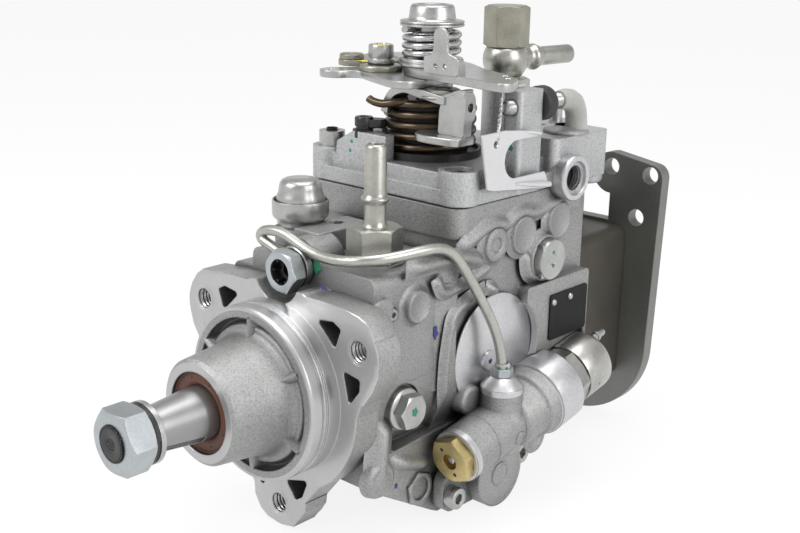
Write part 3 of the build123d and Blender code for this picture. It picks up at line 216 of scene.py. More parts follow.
def housing_faces(m, x, y, z):
    """Flange face, pilot rim and nose face, and the milled dish on the side, in metres."""
    pilot_inside, nose_face = 0.0322, -0.0379
    dish_y, dish_z, dish_r, dish_from_x = 0.084, 0.004, 0.021, 0.025
    radius = m("SQRT", m("ADD", m("MULTIPLY", x, x), m("MULTIPLY", z, z)))
    turned = m("MAXIMUM", m("GREATER_THAN", radius, pilot_inside), m("LESS_THAN", y, nose_face))
    face = m("MULTIPLY", m("LESS_THAN", y, 0.0003), turned)
    dy, dz = m("SUBTRACT", y, dish_y), m("SUBTRACT", z, dish_z)
    near = m("LESS_THAN", m("ADD", m("MULTIPLY", dy, dy), m("MULTIPLY", dz, dz)), dish_r ** 2)
    return m("MAXIMUM", face, m("MULTIPLY", near, m("GREATER_THAN", x, dish_from_x)))


def shaft_faces(m, x, y, z):
    """All of the shaft but its blackened thread."""
    return m("GREATER_THAN", y, -0.0655)


def plastic(name, colour, rough, grain=900.0, depth=0.00003, spread=0.12):
    """Plastic, rubber or paint with a light grain."""
    return metal(name, colour, rough, grain, depth, spread, metallic=0.0, blotch=60.0)


ALUMINIUM = (0.40, 0.40, 0.397)
BLACK_STEEL = (0.035, 0.034, 0.034)
CAST = casting("cast_aluminium", ALUMINIUM, 0.46)
HOUSING = casting("housing_casting", ALUMINIUM, 0.46, housing_faces)
HOUSING_CORNER = casting("housing_corner", ALUMINIUM, 0.46, housing_faces, 0.0)
COVER = casting("cover_casting", (0.55, 0.555, 0.56), 0.44)
SHAFT = casting("shaft_steel", BLACK_STEEL, 0.42, shaft_faces, 0.0004, 0.36)
# Colour, roughness, grain and its depth, colour spread, metallic, blotch, roughness spread
MACHINED = metal("machined_aluminium", (0.62, 0.62, 0.635), 0.34, 700, 0.000006, 0.06, 0.95, 60, 0.05,
                 soft=0.0004)
STEEL = metal("machined_steel", (0.42, 0.415, 0.40), 0.30, 900, 0.000006, 0.07, 1.0, 90, 0.05, soft=0.0003)
ZINC = metal("zinc_plate", (0.48, 0.485, 0.475), 0.33, 1100, 0.00001, 0.12, 0.95, 120, 0.06, soft=0.0003)
YELLOW_ZINC = metal("yellowed_plate", (0.36, 0.35, 0.29), 0.36, 900, 0.00001, 0.16, 0.95, 110, 0.06,
                    soft=0.0004)
DARK = metal("blackened_steel", BLACK_STEEL, 0.42, 900, 0.00001, 0.25, 0.6, 150)
SPRING = metal("spring_wire", (0.085, 0.062, 0.042), 0.30, 1200, 0.00001, 0.22, 0.85, 180)
BRIGHT_SPRING = metal("bright_spring", (0.52, 0.52, 0.52), 0.25, 1200, 0.000005, 0.10, 1.0, 150)
BRASS = metal("brass", (0.62, 0.50, 0.24), 0.36, 600, 0.00001, 0.14, 1.0, 130, soft=0.0003)
BRONZE = metal("bronze", (0.42, 0.28, 0.14), 0.40, 900, 0.00001, 0.12, 0.95, 130)
PLATE = metal("plate_steel", (0.235, 0.24, 0.225), 0.42, 900, 0.00002, 0.10, 0.8, 28, soft=0.0006)
HEAD = metal("head_steel", (0.075, 0.068, 0.056), 0.44, 1100, 0.00005, 0.14, 0.5, 40, soft=0.002)
TAG = metal("tag_plate", (0.62, 0.62, 0.63), 0.34, 900, 0.000002, 0.03, 0.6, 60, soft=0.0002, speck=0.97)
NUT = metal("bluish_plate", (0.46, 0.49, 0.51), 0.32, 1100, 0.00001, 0.08, 0.9, 120, 0.06, soft=0.0004)
FITTING = metal("nickel_plate", (0.44, 0.44, 0.40), 0.34, 900, 0.00001, 0.12, 0.95, 110, 0.06, soft=0.0004)
PIPE = metal("pipe_plate", (0.48, 0.48, 0.445), 0.32, 900, 0.000006, 0.10, 0.95, 140, 0.06)
CAN = metal("solenoid_can", (0.50, 0.495, 0.47), 0.33, 700, 0.00001, 0.14, 0.95, 90, 0.08)
# Blackened steel, also used for the painted shade ring behind the front nut
BLACKED_STEEL_AND_SHADE = metal("phosphated_steel_and_painted_shade", (0.06, 0.06, 0.06), 0.42, 1000, 0.00001, 0.2, 0.7, 200)
SEAL = plastic("seal_rubber", (0.115, 0.042, 0.024), 0.55)
RUBBER = plastic("black_rubber", (0.018, 0.018, 0.019), 0.55)
# Black plastic parts, and black fills that paint the shade in the keyway, the sockets, the union bore and the
# port
BLACK = plastic("black_plastic_and_painted_shade", (0.014, 0.014, 0.015), 0.38)
LABEL = plastic("label_face", (0.012, 0.012, 0.013), 0.6, 500, 0.000004, 0.10)
LABEL.node_tree.nodes["Principled BSDF"].inputs["Specular IOR Level"].default_value = 0.2
BONE = plastic("bone_plastic", (0.36, 0.365, 0.34), 0.42)
GREEN_MARK = plastic("green_paint", (0.02, 0.20, 0.10), 0.5)
BLUE_MARK = plastic("blue_paint", (0.03, 0.03, 0.16), 0.5)
TEAL_MARK = plastic("teal_paint", (0.01, 0.20, 0.19), 0.5)
YELLOW_MARK = plastic("yellow_paint", (0.75, 0.62, 0.06), 0.5)

node_materials = {
    HOUSING: ["pump_housing"], SHAFT: ["drive_shaft"], COVER: ["governor_cover"], PLATE: ["support_plate"],
    HEAD: ["distributor_head"], TAG: ["id_tag"], BRASS: ["advance_plug"], BRONZE: ["shaft_bushes"],
    CAST: ["advance_body", "timing_cover", "advance_solenoid"], SEAL: ["shaft_seal"], RUBBER: ["stop_cap"],
    DARK: ["spring_cup", "head_screws"], BLACK: ["cover_gasket"], LABEL: ["label_plate"],
    SPRING: ["return_spring"], BRIGHT_SPRING: ["upper_spring"],
    YELLOW_ZINC: ["return_bolt", "inlet_connector"],
    ZINC: ["cover_screws", "spring_cap", "lock_bolt", "stop_screw", "shaft_nut", "shaft_washers",
           "return_union", "lever_plate", "lever_bolt", "union_bolt", "advance_pipe", "pressure_valve",
           "stop_solenoid", "advance_screws"],
}
finish_of = {node: mat for mat, nodes in node_materials.items() for node in nodes}
for name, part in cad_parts.items():
    part.data.materials.clear()
    part.data.materials.append(finish_of.get(name, STEEL))


# Shape helpers: sizes in millimetres, pieces ride on the pump's body unless they name another
def link(obj, mat, hides, body):
    """Put an object in the scene, on its body and in place of the nodes it hides."""
    bpy.context.collection.objects.link(obj)
    obj.data.materials.append(mat)
    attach(obj, body)
    if hides:
        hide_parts(*hides)
    return obj


def basis(at, axis, x_dir=None):
    """A matrix in metres whose local Z is the axis, for shapes drawn in millimetres."""
    z = Vector(axis).normalized()
    guide = Vector(x_dir or (X if abs(z.x) < 0.9 else Y))
    x = (guide - z * guide.dot(z)).normalized()
    turn = Matrix((x, z.cross(x), z)).transposed().to_4x4()
    turn.translation = Vector(at) * MM
    return turn @ Matrix.Scale(MM, 4)


def flat_z(z):
    """Place an (x, y) outline at a height."""
    return Matrix.Translation((0, 0, z * MM)) @ Matrix.Scale(MM, 4)


def flat_x(x):
    """Place a (y, z) outline across X."""
    return basis((x, 0, 0), X, Y)


def flat_y(y):
    """Place an (x, z) outline across Y."""
    return basis((0, y, 0), (0, -1, 0), X)


def circle(radius, steps, u=0.0, v=0.0):
    turns = [2 * math.pi * i / steps for i in range(steps)]
    return [(u + radius * math.cos(t), v + radius * math.sin(t)) for t in turns]


def skin(bm, rows, closed=True):
    """Faces between neighbouring rows of vertices, all the way round each row or open at its ends."""
    for a, b in zip(rows, rows[1:]):
        for i in range(len(a) - (0 if closed else 1)):
            j = (i + 1) % len(a)
            bm.faces.new((a[i], a[j], b[j], b[i]))


def smoothed(mesh, sharp):
    for face in mesh.polygons:
        face.use_smooth = True
    mesh.set_sharp_from_angle(angle=math.radians(sharp))


def solid(name, bm, mat, hides=(), place=None, bevel=0.0, sharp=32.0, body="pump_body"):
    """An object from a mesh drawn in millimetres, its edges rounded on request."""
    bmesh.ops.remove_doubles(bm, verts=bm.verts, dist=1e-4)
    bmesh.ops.recalc_face_normals(bm, faces=bm.faces)
    bm.transform(place or Matrix.Scale(MM, 4))
    mesh = bpy.data.meshes.new(name)
    bm.to_mesh(mesh)
    bm.free()
    smoothed(mesh, sharp)
    obj = bpy.data.objects.new(name, mesh)
    if bevel > 0:
        rounding = obj.modifiers.new("edges", "BEVEL")
        rounding.width = bevel * MM
        rounding.segments = 2
        rounding.limit_method = "ANGLE"
        rounding.angle_limit = math.radians(35)
        rounding.harden_normals = True
    return link(obj, mat, hides, body)


def lathe(name, at, axis, profile, mat, hides=(), steps=64, sharp=32.0, body="pump_body"):
    """A turned shape: profile is a list of (radius, distance along the axis)."""
    bm = bmesh.new()
    rings = []
    for radius, along in profile:
        around = circle(radius, steps) if radius > 1e-6 else [(0, 0)]
        rings.append([bm.verts.new((u, v, along)) for u, v in around])
    for low, high in zip(rings, rings[1:]):
        for i in range(steps):
            j = (i + 1) % steps
            corners = [low[i % len(low)], low[j % len(low)], high[j % len(high)], high[i % len(high)]]
            unique = list(dict.fromkeys(corners))
            if len(unique) > 2:
                bm.faces.new(unique)
    return solid(name, bm, mat, hides, basis(at, axis), sharp=sharp, body=body)


def hexagon(name, at, axis, across, low, high, mat, bore=0.0, crown=0.97, hides=(), turn=0.0, x_dir=None,
            both=True, body="pump_body"):
    """A hexagon with turned chamfers on its top or both faces, and a bore on request."""
    bm = bmesh.new()
    count = 72
    face_r = across / 2 * crown
    slope = 0.55
    rings = []

    def ring(radius_of, along_of):
        """A row of points whose radius and height follow from the flat side's distance."""
        made = []
        for i in range(count):
            t = 2 * math.pi * i / count
            local = (t + math.pi / 6) % (math.pi / 3) - math.pi / 6
            flat_r = across / 2 / math.cos(local)
            r = radius_of(flat_r)
            spin = t + math.radians(turn)
            made.append(bm.verts.new((r * math.cos(spin), r * math.sin(spin), along_of(flat_r))))
        rings.append(made)

    if bore > 0:
        ring(lambda r: bore, lambda r: low)
    if both:
        ring(lambda r: min(r, face_r), lambda r: low)
        ring(lambda r: r, lambda r: low + max(0.0, r - face_r) * slope)
    else:
        ring(lambda r: r, lambda r: low)
    ring(lambda r: r, lambda r: high - max(0.0, r - face_r) * slope)
    ring(lambda r: min(r, face_r), lambda r: high)
    if bore > 0:
        ring(lambda r: bore + 0.4, lambda r: high)
        ring(lambda r: bore, lambda r: high - 0.4)
        rings.append(rings[0])
    skin(bm, rings)
    if bore <= 0:
        bm.faces.new(rings[0])
        bm.faces.new(rings[-1])
    return solid(name, bm, mat, hides, basis(at, axis, x_dir), sharp=24.0, body=body)


def thread(name, at, axis, radius, depth, pitch, length, mat):
    """A helical thread as a skin; depth is positive outwards and negative inwards."""
    bm = bmesh.new()
    steps = 40
    rows = max(2, int(length / pitch * 6))
    grid = []
    for row in range(rows + 1):
        along = length * row / rows
        line = []
        for i in range(steps):
            share = (along / pitch - i / steps) % 1.0
            r = radius + depth * (1 - abs(2 * share - 1))
            t = 2 * math.pi * i / steps
            line.append(bm.verts.new((r * math.cos(t), r * math.sin(t), along)))
        grid.append(line)
    skin(bm, grid)
    return solid(name, bm, mat, (), basis(at, axis), sharp=80.0)


def tube(name, points, radius, mat, hides=(), taper=None, body="pump_body"):
    """A round wire or pipe along points."""
    curve = bpy.data.curves.new(name, "CURVE")
    curve.dimensions = "3D"
    curve.bevel_depth = radius * MM
    curve.bevel_resolution = 5
    curve.resolution_u = 8
    curve.use_fill_caps = True
    line = curve.splines.new("NURBS")
    line.points.add(len(points) - 1)
    for i, (spot, p) in enumerate(zip(line.points, points)):
        spot.co = (p[0] * MM, p[1] * MM, p[2] * MM, 1.0)
        if taper:
            spot.radius = taper[i]
    line.order_u = 4
    line.use_endpoint_u = True
    return link(bpy.data.objects.new(name, curve), mat, hides, body)


def helix(x, y, z, radius, pitch, turns, start=0.0, per_turn=16):
    """Points of a coil that climbs along Z."""
    place = basis((x, y, z), Z)
    spots = []
    for i in range(int(turns * per_turn) + 1):
        t = 2 * math.pi * i / per_turn + math.radians(start)
        spots.append(place @ Vector((radius * math.cos(t), radius * math.sin(t), pitch * i / per_turn)) / MM)
    return spots


def slab(name, outline, place, thick, mat, holes=(), bevel=0.25, hides=(), body="pump_body"):
    """A flat sheet with rounded rims from an outline and round holes (u, v, radius)."""
    curve = bpy.data.curves.new(name, "CURVE")
    curve.dimensions = "2D"
    curve.fill_mode = "BOTH"
    curve.extrude = max(0.01, thick / 2 - bevel)
    curve.bevel_depth = bevel
    curve.bevel_resolution = 2
    curve.offset = -bevel
    for loop in [outline] + [circle(r, 32, u, v) for u, v, r in holes]:
        line = curve.splines.new("POLY")
        line.points.add(len(loop) - 1)
        for spot, p in zip(line.points, loop):
            spot.co = (p[0], p[1], 0.0, 1.0)
        line.use_cyclic_u = True
    raw = bpy.data.objects.new(name + "_raw", curve)
    bpy.context.collection.objects.link(raw)
    bpy.context.view_layer.update()
    graph = bpy.context.evaluated_depsgraph_get()
    mesh = bpy.data.meshes.new_from_object(raw.evaluated_get(graph))
    bpy.data.objects.remove(raw)
    bpy.data.curves.remove(curve)
    mesh.transform(place)
    mesh.name = name
    smoothed(mesh, 40)
    mesh.materials.clear()
    return link(bpy.data.objects.new(name, mesh), mat, hides, body)


def rounded(points, radius, steps=5):
    """An outline with its corners rounded."""
    out = []
    count = len(points)
    for i, p in enumerate(points):
        here = Vector(p)
        before = Vector(points[i - 1]) - here
        after = Vector(points[(i + 1) % count]) - here
        reach = min(radius, before.length * 0.45, after.length * 0.45)
        a, b = here + before.normalized() * reach, here + after.normalized() * reach
        for k in range(steps + 1):
            t = k / steps
            out.append(tuple(a * (1 - t) ** 2 + here * (2 * t * (1 - t)) + b * t ** 2))
    return out


def smooth_line(points, per=6):
    """Catmull-Rom points through the given ones."""
    out = []
    for i in range(len(points) - 1):
        a, b = Vector(points[max(0, i - 1)]), Vector(points[i])
        c, d = Vector(points[i + 1]), Vector(points[min(len(points) - 1, i + 2)])
        for k in range(per):
            t = k / per
            out.append(tuple(0.5 * (2 * b + (c - a) * t + (2 * a - 5 * b + 4 * c - d) * t * t
                                    + (3 * b - a - 3 * c + d) * t ** 3)))
    out.append(tuple(points[-1]))
    return out


def dab(name, at, normal, size, mat, stretch=1.0, body="pump_body"):
    """A small dab of paint lying on a surface."""
    bm = bmesh.new()
    bmesh.ops.create_icosphere(bm, subdivisions=3, radius=1.0)
    for v in bm.verts:
        wave = 1 + 0.18 * math.sin(5 * math.atan2(v.co.y, v.co.x) + size)
        v.co.x *= size * stretch * wave
        v.co.y *= size * wave
        v.co.z *= 0.18
    return solid(name, bm, mat, (), basis(at, normal), sharp=80.0, body=body)


# Camera, lamps and floor
def photo_camera():
    """The camera that took the photograph."""
    turn, rise, roll = (math.radians(angle) for angle in (VIEW_TURN, VIEW_RISE, VIEW_ROLL))
    back = Vector((math.sin(turn) * math.cos(rise), -math.cos(turn) * math.cos(rise), math.sin(rise)))
    level = Vector((math.cos(turn), math.sin(turn), 0))
    upward = back.cross(level)
    right = math.cos(roll) * level + math.sin(roll) * upward
    up = math.cos(roll) * upward - math.sin(roll) * level
    camera = bpy.data.cameras.new("camera")
    camera.sensor_width = SENSOR
    camera.lens = LENS
    camera.clip_start = 0.01
    holder = bpy.data.objects.new("camera", camera)
    bpy.context.collection.objects.link(holder)
    place = Matrix((right, up, back)).transposed().to_4x4()
    place.translation = CAMERA_AT
    holder.matrix_world = place
    bpy.context.scene.camera = holder


def lamp(name, place, aim, side, power):
    """A square area lamp aimed at a point."""
    light = bpy.data.lights.new(name, "AREA")
    light.shape = "RECTANGLE"
    light.size = side
    light.size_y = side
    light.energy = power
    holder = bpy.data.objects.new(name, light)
    bpy.context.collection.objects.link(holder)
    holder.location = place
    holder.rotation_euler = (Vector(aim) - Vector(place)).to_track_quat("-Z", "Y").to_euler()


def studio():
    """Soft light all round, brighter above and below, and three lamps."""
    world = bpy.data.worlds.new("studio")
    bpy.context.scene.world = world
    world.use_nodes = True
    tree = world.node_tree
    tree.nodes.clear()
    split = node(tree, "SeparateXYZ", Vector=node(tree, "TexCoord").outputs["Generated"])
    span = node(tree, "MapRange", From_Min=-1.0, Value=split.outputs["Z"])
    heights = [(0.0, 0.55), (0.48, 0.80), (0.50, 1.0), (0.61, 0.98), (0.70, 0.50), (0.82, 0.52), (0.90, 0.95),
               (1.0, 0.90)]
    sky = ramp(tree, span.outputs["Result"], [(height, grey(tone)) for height, tone in heights])
    around = node(tree, "Background", Strength=0.92, Color=sky)
    node(tree, "OutputWorld", Surface=around.outputs["Background"])
    lamp("key", (-0.35, -0.75, 0.75), (0, 0.06, 0.02), 0.5, 6.5)
    lamp("side", (0.85, 0.10, 0.45), (0, 0.06, 0.0), 0.5, 4.0)
    lamp("top", (0.05, 0.15, 0.95), (0, 0.08, 0.0), 0.6, 4.5)
    bpy.context.scene.view_settings.view_transform = "Standard"


def floor():
    """A pale floor that the camera and metal see nearly white, and that keeps the shadow."""
    white_share, below = 0.86, 0.0002
    bpy.ops.mesh.primitive_plane_add(size=8.0, location=(0, 0, cad_box[0][2] - below))
    plane = bpy.context.object
    plane.name = "floor"
    mat, tree, shader = new_material("floor")
    feed(tree, shader.inputs["Base Color"], grey(0.86))
    shader.inputs["Roughness"].default_value = 0.7
    glow = node(tree, "Emission", Color=grey(1.0))
    path = node(tree, "LightPath")
    shown = maths(tree, "MAXIMUM", path.outputs["Is Camera Ray"], path.outputs["Is Glossy Ray"])
    shown = maths(tree, "MAXIMUM", shown, path.outputs["Is Transmission Ray"])
    pick = node(tree, "MixShader", Fac=maths(tree, "MULTIPLY", shown, white_share))
    tree.links.new(shader.outputs["BSDF"], pick.inputs[1])
    tree.links.new(glow.outputs["Emission"], pick.inputs[2])
    tree.links.new(pick.outputs["Shader"], tree.nodes["Material Output"].inputs["Surface"])
    plane.data.materials.append(mat)


# Front end of the shaft
def front_end():
    """Shaft end, nut, seal, pilot and flange holes."""
    lathe("shaft_end", (0, -74.75, 0), Y,
          [(0, 1.2), (1.2, 1), (2.3, 0.1), (2.5, 0), (5.6, 0), (6.6, 0.9), (6.75, 1.4)], BLACKED_STEEL_AND_SHADE,
          body="drive_shaft")
    lathe("shaft_seal_face", (0, -36.9, 0), Y,
          [(10.25, 4), (10.2, 0.9), (10.9, 0.35), (11.5, 0.2), (11.8, 0.45), (14.3, 0.45), (14.7, 0),
           (15.35, 0), (15.45, 0.6), (15.45, 5)], SEAL, ["shaft_seal"])
    for i in range(8):
        t = math.radians(22 + 45 * i)
        dab("seal_mark_%d" % i, (13 * math.cos(t), -36.5, 13 * math.sin(t)), (0, -1, 0), 0.35, BLACK)
    hexagon("front_nut", (0, 0, 0), Y, 22, -74.05, -63.65, NUT, 6.8, hides=["shaft_nut"], crown=0.98, x_dir=Z,
            body="drive_shaft")
    # A dark ring over the spring washer: painted shade in the gap between the nut and the flat washer
    lathe("nut_gap_shade", (0, 0, 0), Y, [(10.3, -63.6), (10.95, -63.5), (10.95, -62.3), (10.3, -62.1)], BLACKED_STEEL_AND_SHADE,
          body="drive_shaft")
    shaft_form()
    lathe("pilot_band", (0, 0, 0), Y,
          [(32.5, -8.7), (33.5, -8.6), (33.6, -8.1), (33.1, -7.9), (33, -7.1), (33.1, -6.3), (33.7, -6.1),
           (33.7, -5.7), (32.5, -5.5)], MACHINED, steps=96)
    trough_form()
    for i in range(3):
        t = math.radians(30 + 120 * i)
        x, z = FLANGE_BOLT_R * math.cos(t), FLANGE_BOLT_R * math.sin(t)
        thread("flange_thread_%d" % i, (x, 0.5, z), Y, 4.25, -0.75, 1.5, 10.5, MACHINED)
        lathe("flange_sink_%d" % i, (x, 0, z), Y, [(5.3, -0.05), (5.1, -0.06), (4.2, 0.7), (3.6, 1.1)],
              MACHINED, steps=48)
    lobe_corners()


def shaft_form():
    """The shaft's taper and journal, with the open keyway in the taper and a black strip of painted shade in
    it.
    """
    slot_at, slot_half, depth = math.radians(KEYWAY_TURN), 2, 2.2
    slot_from, slot_to = -60, -40.99
    stations = [(-74.7, 6.7), (-60, 6.7), (-60, 8.1), (-59.98, 8.1), (-41, 10), (-40.98, 10), (-10, 10),
                (40, 9), (71, 9)]
    bm = bmesh.new()
    rings = []
    for y, radius in stations:
        half = math.asin(slot_half / radius)
        cut = slot_from < y < slot_to
        turns = [slot_at + half + (2 * math.pi - 2 * half) * k / 60 for k in range(61)]
        line = [bm.verts.new((radius * math.cos(t), y, radius * math.sin(t))) for t in turns]
        deep = radius - depth if cut else radius
        low = math.asin(slot_half / deep)
        for k in range(5):
            t = slot_at - low + 2 * low * k / 4
            line.append(bm.verts.new((deep * math.cos(t), y, deep * math.sin(t))))
        rings.append(line)
    skin(bm, rings)
    bm.faces.new(rings[0])
    bm.faces.new(rings[-1])
    solid("shaft", bm, SHAFT, ["drive_shaft"], sharp=30, body="drive_shaft")
    # A black strip just under the surface in the keyway: painted shade that makes the slot read dark
    bm = bmesh.new()
    rows = []
    for y, radius in ((-59.9, 7.75), (-41.1, 9.62)):
        half = math.asin(1.95 / radius)
        turns = [slot_at - half + half * k / 3 for k in range(7)]
        rows.append([bm.verts.new((radius * math.cos(t), y, radius * math.sin(t))) for t in turns])
    skin(bm, rows, closed=False)
    solid("keyway_shade", bm, BLACK, body="drive_shaft")


def trough_form():
    """The trough's rounded floor and its cast ribs."""
    bowl = [(21.6, -22), (22.2, -18), (22.9, -15), (23.9, -13), (25.2, -12.2), (26.2, -12.3), (26.8, -11.6),
            (27.4, -9.8), (28.3, -9.2), (29.1, -10), (29.8, -12.6)]
    lathe("trough_bowl", (0, 0, 0), Y, bowl, CAST, steps=96, sharp=70)
    inner_r, reach, width = 22.6, 7.6, 8.4
    foot_y, height, lift = -9, 5.3, 1.2
    for i in range(6):
        turn = math.radians(30 + 60 * i)
        out = Vector((math.cos(turn), 0, math.sin(turn)))
        side = Vector((-math.sin(turn), 0, math.cos(turn)))
        bm = bmesh.new()
        grid = []
        for j in range(9):
            r = inner_r + reach * j / 8
            tall = height + lift * (1 - j / 8) ** 2
            row = []
            for k in range(13):
                w = -width / 2 + width * k / 12
                y = foot_y - tall * math.cos(math.pi * w / width) ** 2
                row.append(bm.verts.new(out * r + side * w + Vector((0, y, 0))))
            grid.append(row)
        skin(bm, grid, closed=False)
        solid("trough_rib_%d" % i, bm, CAST, sharp=70)


def corner(name, outer, inner):
    """A straight-sided block on the flange's edge, its outer rim rounded."""
    outline = outer + inner
    front_y, back_y = -0.02, 11.9
    bm = bmesh.new()
    front = [bm.verts.new((x, front_y, z)) for x, z in outline]
    back = [bm.verts.new((x, back_y, z)) for x, z in outline]
    bm.faces.new(front)
    bm.faces.new(back)
    skin(bm, [front, back])
    rim = []
    for line in (front, back):
        rim += [bm.edges.get((line[k], line[k + 1])) for k in range(len(outer) - 1)]
    bmesh.ops.bevel(bm, geom=rim, offset=0.5, segments=3, affect="EDGES", profile=0.5)
    solid(name, bm, HOUSING_CORNER, sharp=40)


def lobe_corners():
    """The straight sides that square off the flange's round lobes."""
    corner("lobe_right_top",
           [(14, 38.9), (24, 39.2), (36.3, 38.7), (42.5, 37.9), (47.6, 35.4), (50.2, 30.2)],
           [(48.2, 28), (46.4, 30.6), (40.5, 32.8), (33, 33.2), (24, 34.2), (14, 35.6)])
    corner("lobe_right_side", [(52.3, 22), (52.4, 17.6), (49.8, 11.4), (45, 4.6)],
           [(43, 5.6), (46.6, 12), (49.6, 17), (50.2, 22)])
    corner("lobe_left_top",
           [(-51, 29.4), (-47.4, 34.2), (-43.6, 36.8), (-34, 37.6), (-22, 38.2), (-13, 38.3)],
           [(-13, 35.4), (-24, 33.8), (-33, 32.8), (-40.5, 32.4), (-46, 30.2), (-49, 28)])
    corner("lobe_left_side", [(-46, 5.4), (-50.8, 12.4), (-52.4, 18), (-52.4, 22.6)],
           [(-50, 22.6), (-49.4, 17), (-46.6, 12), (-44, 6.4)])
    corner("lobe_bottom",
           [(-14.7, -45.4), (-14.4, -50.6), (-11.2, -55.6), (-6.8, -58.1), (1, -58.6), (8, -57.3),
            (14.6, -48.6), (15.2, -44.6)],
           [(13.2, -45.4), (12, -48.5), (7, -54), (1, -56.2), (-6, -55.4), (-10.4, -52.4), (-12.4, -49),
            (-13, -46)])


# Fittings on the deck
def lock_parts():
    """The bolt that locks the shaft, and the screw above it."""
    lathe("lock_boss", LOCK_BOLT, X, [(9.4, 35.5), (8.3, 36.4), (7.5, 37.6), (7.3, 38.8), (7.1, 39)], CAST,
          ["lock_bolt"], steps=56, sharp=60)
    lathe("lock_flange", LOCK_BOLT, X,
          [(6, 38.8), (7.9, 38.8), (8.2, 39.1), (8.1, 39.9), (7.2, 40.5), (5.5, 40.7)], ZINC)
    hexagon("lock_head", LOCK_BOLT, X, 12.6, 40.4, 45, ZINC, turn=24, x_dir=Y, crown=0.96)
    dab("lock_paint", (45.05, 28.3, -6.2), X, 1.7, GREEN_MARK, 0.9)
    lathe("side_screw_seat", SIDE_SCREW, X, [(4.2, 38.2), (3.8, 38.9), (3.1, 39.1), (2.9, 38.6)], CAST,
          steps=40, sharp=60)
    lathe("side_screw", SIDE_SCREW, X,
          [(2.6, 38.5), (2.5, 39.6), (2, 40), (1.1, 40.1), (0.9, 39.6), (0, 39.5)], STEEL, steps=32)
    # A black disc in the screw's socket: painted shade for the recess
    lathe("side_screw_socket_shade", SIDE_SCREW, X, [(1.3, 40), (1.2, 40.12), (0.9, 39.8), (0, 39.7)], BLACK,
          steps=24)


def fittings():
    """Inlet tube, capped pressure valve and the union of the feed pipe."""
    x, y, z = 21.6, 30, 48.3
    hexagon("inlet_hexagon", (x, y, 0), Z, 18.6, z + 0.1, z + 13, FITTING, 0, hides=["inlet_connector"],
            turn=18, both=False)
    lathe("inlet_tube", (x, y, z), Z,
          [(5.2, 12.8), (4.6, 13.5), (4.2, 15), (4.2, 21.2), (4.4, 22), (5.1, 22.6), (5.4, 23.2),
           (5.4, 23.6), (5.1, 24.1), (4.5, 24.6), (4.25, 25.4), (4.2, 42.4), (3.95, 43.2), (3.4, 43.7),
           (2.7, 43.8), (2.6, 43.3), (2.5, 36), (0, 35.8)], FITTING, steps=48, sharp=50)
    lathe("valve_cup", PRESSURE_VALVE, Z,
          [(6, 53.6), (8.8, 53.8), (9.3, 54.2), (9.4, 55.6), (10, 56.6), (11, 57.5), (11.3, 58.6),
           (11.35, 63.6), (11.1, 64.3), (10.7, 64.2), (10.5, 63.6), (10.3, 61.4), (9.4, 61.2)], ZINC,
          ["pressure_valve"], sharp=40)
    lathe("valve_cap", PRESSURE_VALVE, Z,
          [(9.7, 61), (9.6, 64.6), (9.3, 66), (8.8, 67), (8.5, 69), (8.2, 70.6), (7.5, 71.7), (6.4, 72.3),
           (0, 72.5)], ZINC, sharp=60)
    x, z = UNION
    hexagon("union_hexagon", (x, 0, z), Y, 15.2, 1, 7, NUT, 5, hides=["union_bolt"], crown=0.98, x_dir=Z,
            turn=8)
    # Black bore and teeth inside the union nut: painted shade for its socket
    lathe("union_socket_shade", (x, 0, z), Y,
          [(5.05, 1.3), (4.95, 1.5), (4.9, 5.2), (3.4, 5.4), (2.9, 5.6), (2.8, 8), (0, 8.2)], BLACK)
    lathe("union_washer", (x, 0, z), Y, [(4.2, 7), (7.5, 7), (7.7, 7.2), (7.7, 7.8), (7.5, 8), (4.2, 8)],
          DARK)
    for i in range(6):
        t = math.radians(60 * i)
        lathe("union_tooth_%d" % i, (x + 4.4 * math.cos(t), 1.9, z + 4.4 * math.sin(t)), Y,
              [(0, 0), (0.55, 0.1), (0.7, 0.6), (0.7, 3.4), (0, 3.5)], BLACK, steps=16)


# Feed pipe to the advance unit
def feed_pipe():
    """The steel pipe with its ring, nut and sleeve."""
    route = [(-6, 9.4, 47.6), (-10, 9.2, 50), (-15.4, 8.8, 51.4), (-18.6, 8.6, 52.8), (-18, 8.8, 55.6),
             (-12.6, 9.4, 57), (-5.4, 10, 56.6), (1.8, 10, 53.8), (9, 10, 51.9), (16, 10, 51.3),
             (23, 10.4, 51.7), (29.5, 11.6, 52.6), (35, 16, 53.3), (39, 24, 54), (42, 34, 54.9),
             (43.6, 43, 54.9), (44.4, 49.6, 51), (45.4, 56, 42.5), (46.6, 62.5, 32), (47.6, 68, 23),
             (48.6, 72, 14.5), (49.5, 74.2, 6), (49.9, 74.8, -1), (49.9, 74.8, -4)]
    tube("feed_pipe", route, 2.05, PIPE, ["advance_pipe"])
    lathe("banjo_ring", (0, 0, 45.2), Y,
          [(4.1, 8), (7.3, 8), (7.9, 8.5), (8, 9.3), (8, 11), (7.6, 11.6), (4.1, 11.8)], ZINC)
    hexagon("pipe_nut", PIPE_END, Z, 7.8, -3, 0.6, NUT, 2.2, turn=20)
    lathe("pipe_sleeve", PIPE_END, Z, [(2.1, 0.5), (3.1, 0.5), (3.1, 1.6), (2.7, 2.2), (2.2, 2.4)], BONE,
          steps=32)
    for i, turn in enumerate((-80, -20, 30)):
        t = math.radians(turn)
        dab("pipe_paint_%d" % i, (PIPE_END[0] + 3.05 * math.cos(t), PIPE_END[1] + 3.05 * math.sin(t), 1.1),
            (math.cos(t), math.sin(t), 0), 0.5, GREEN_MARK, 1.4)


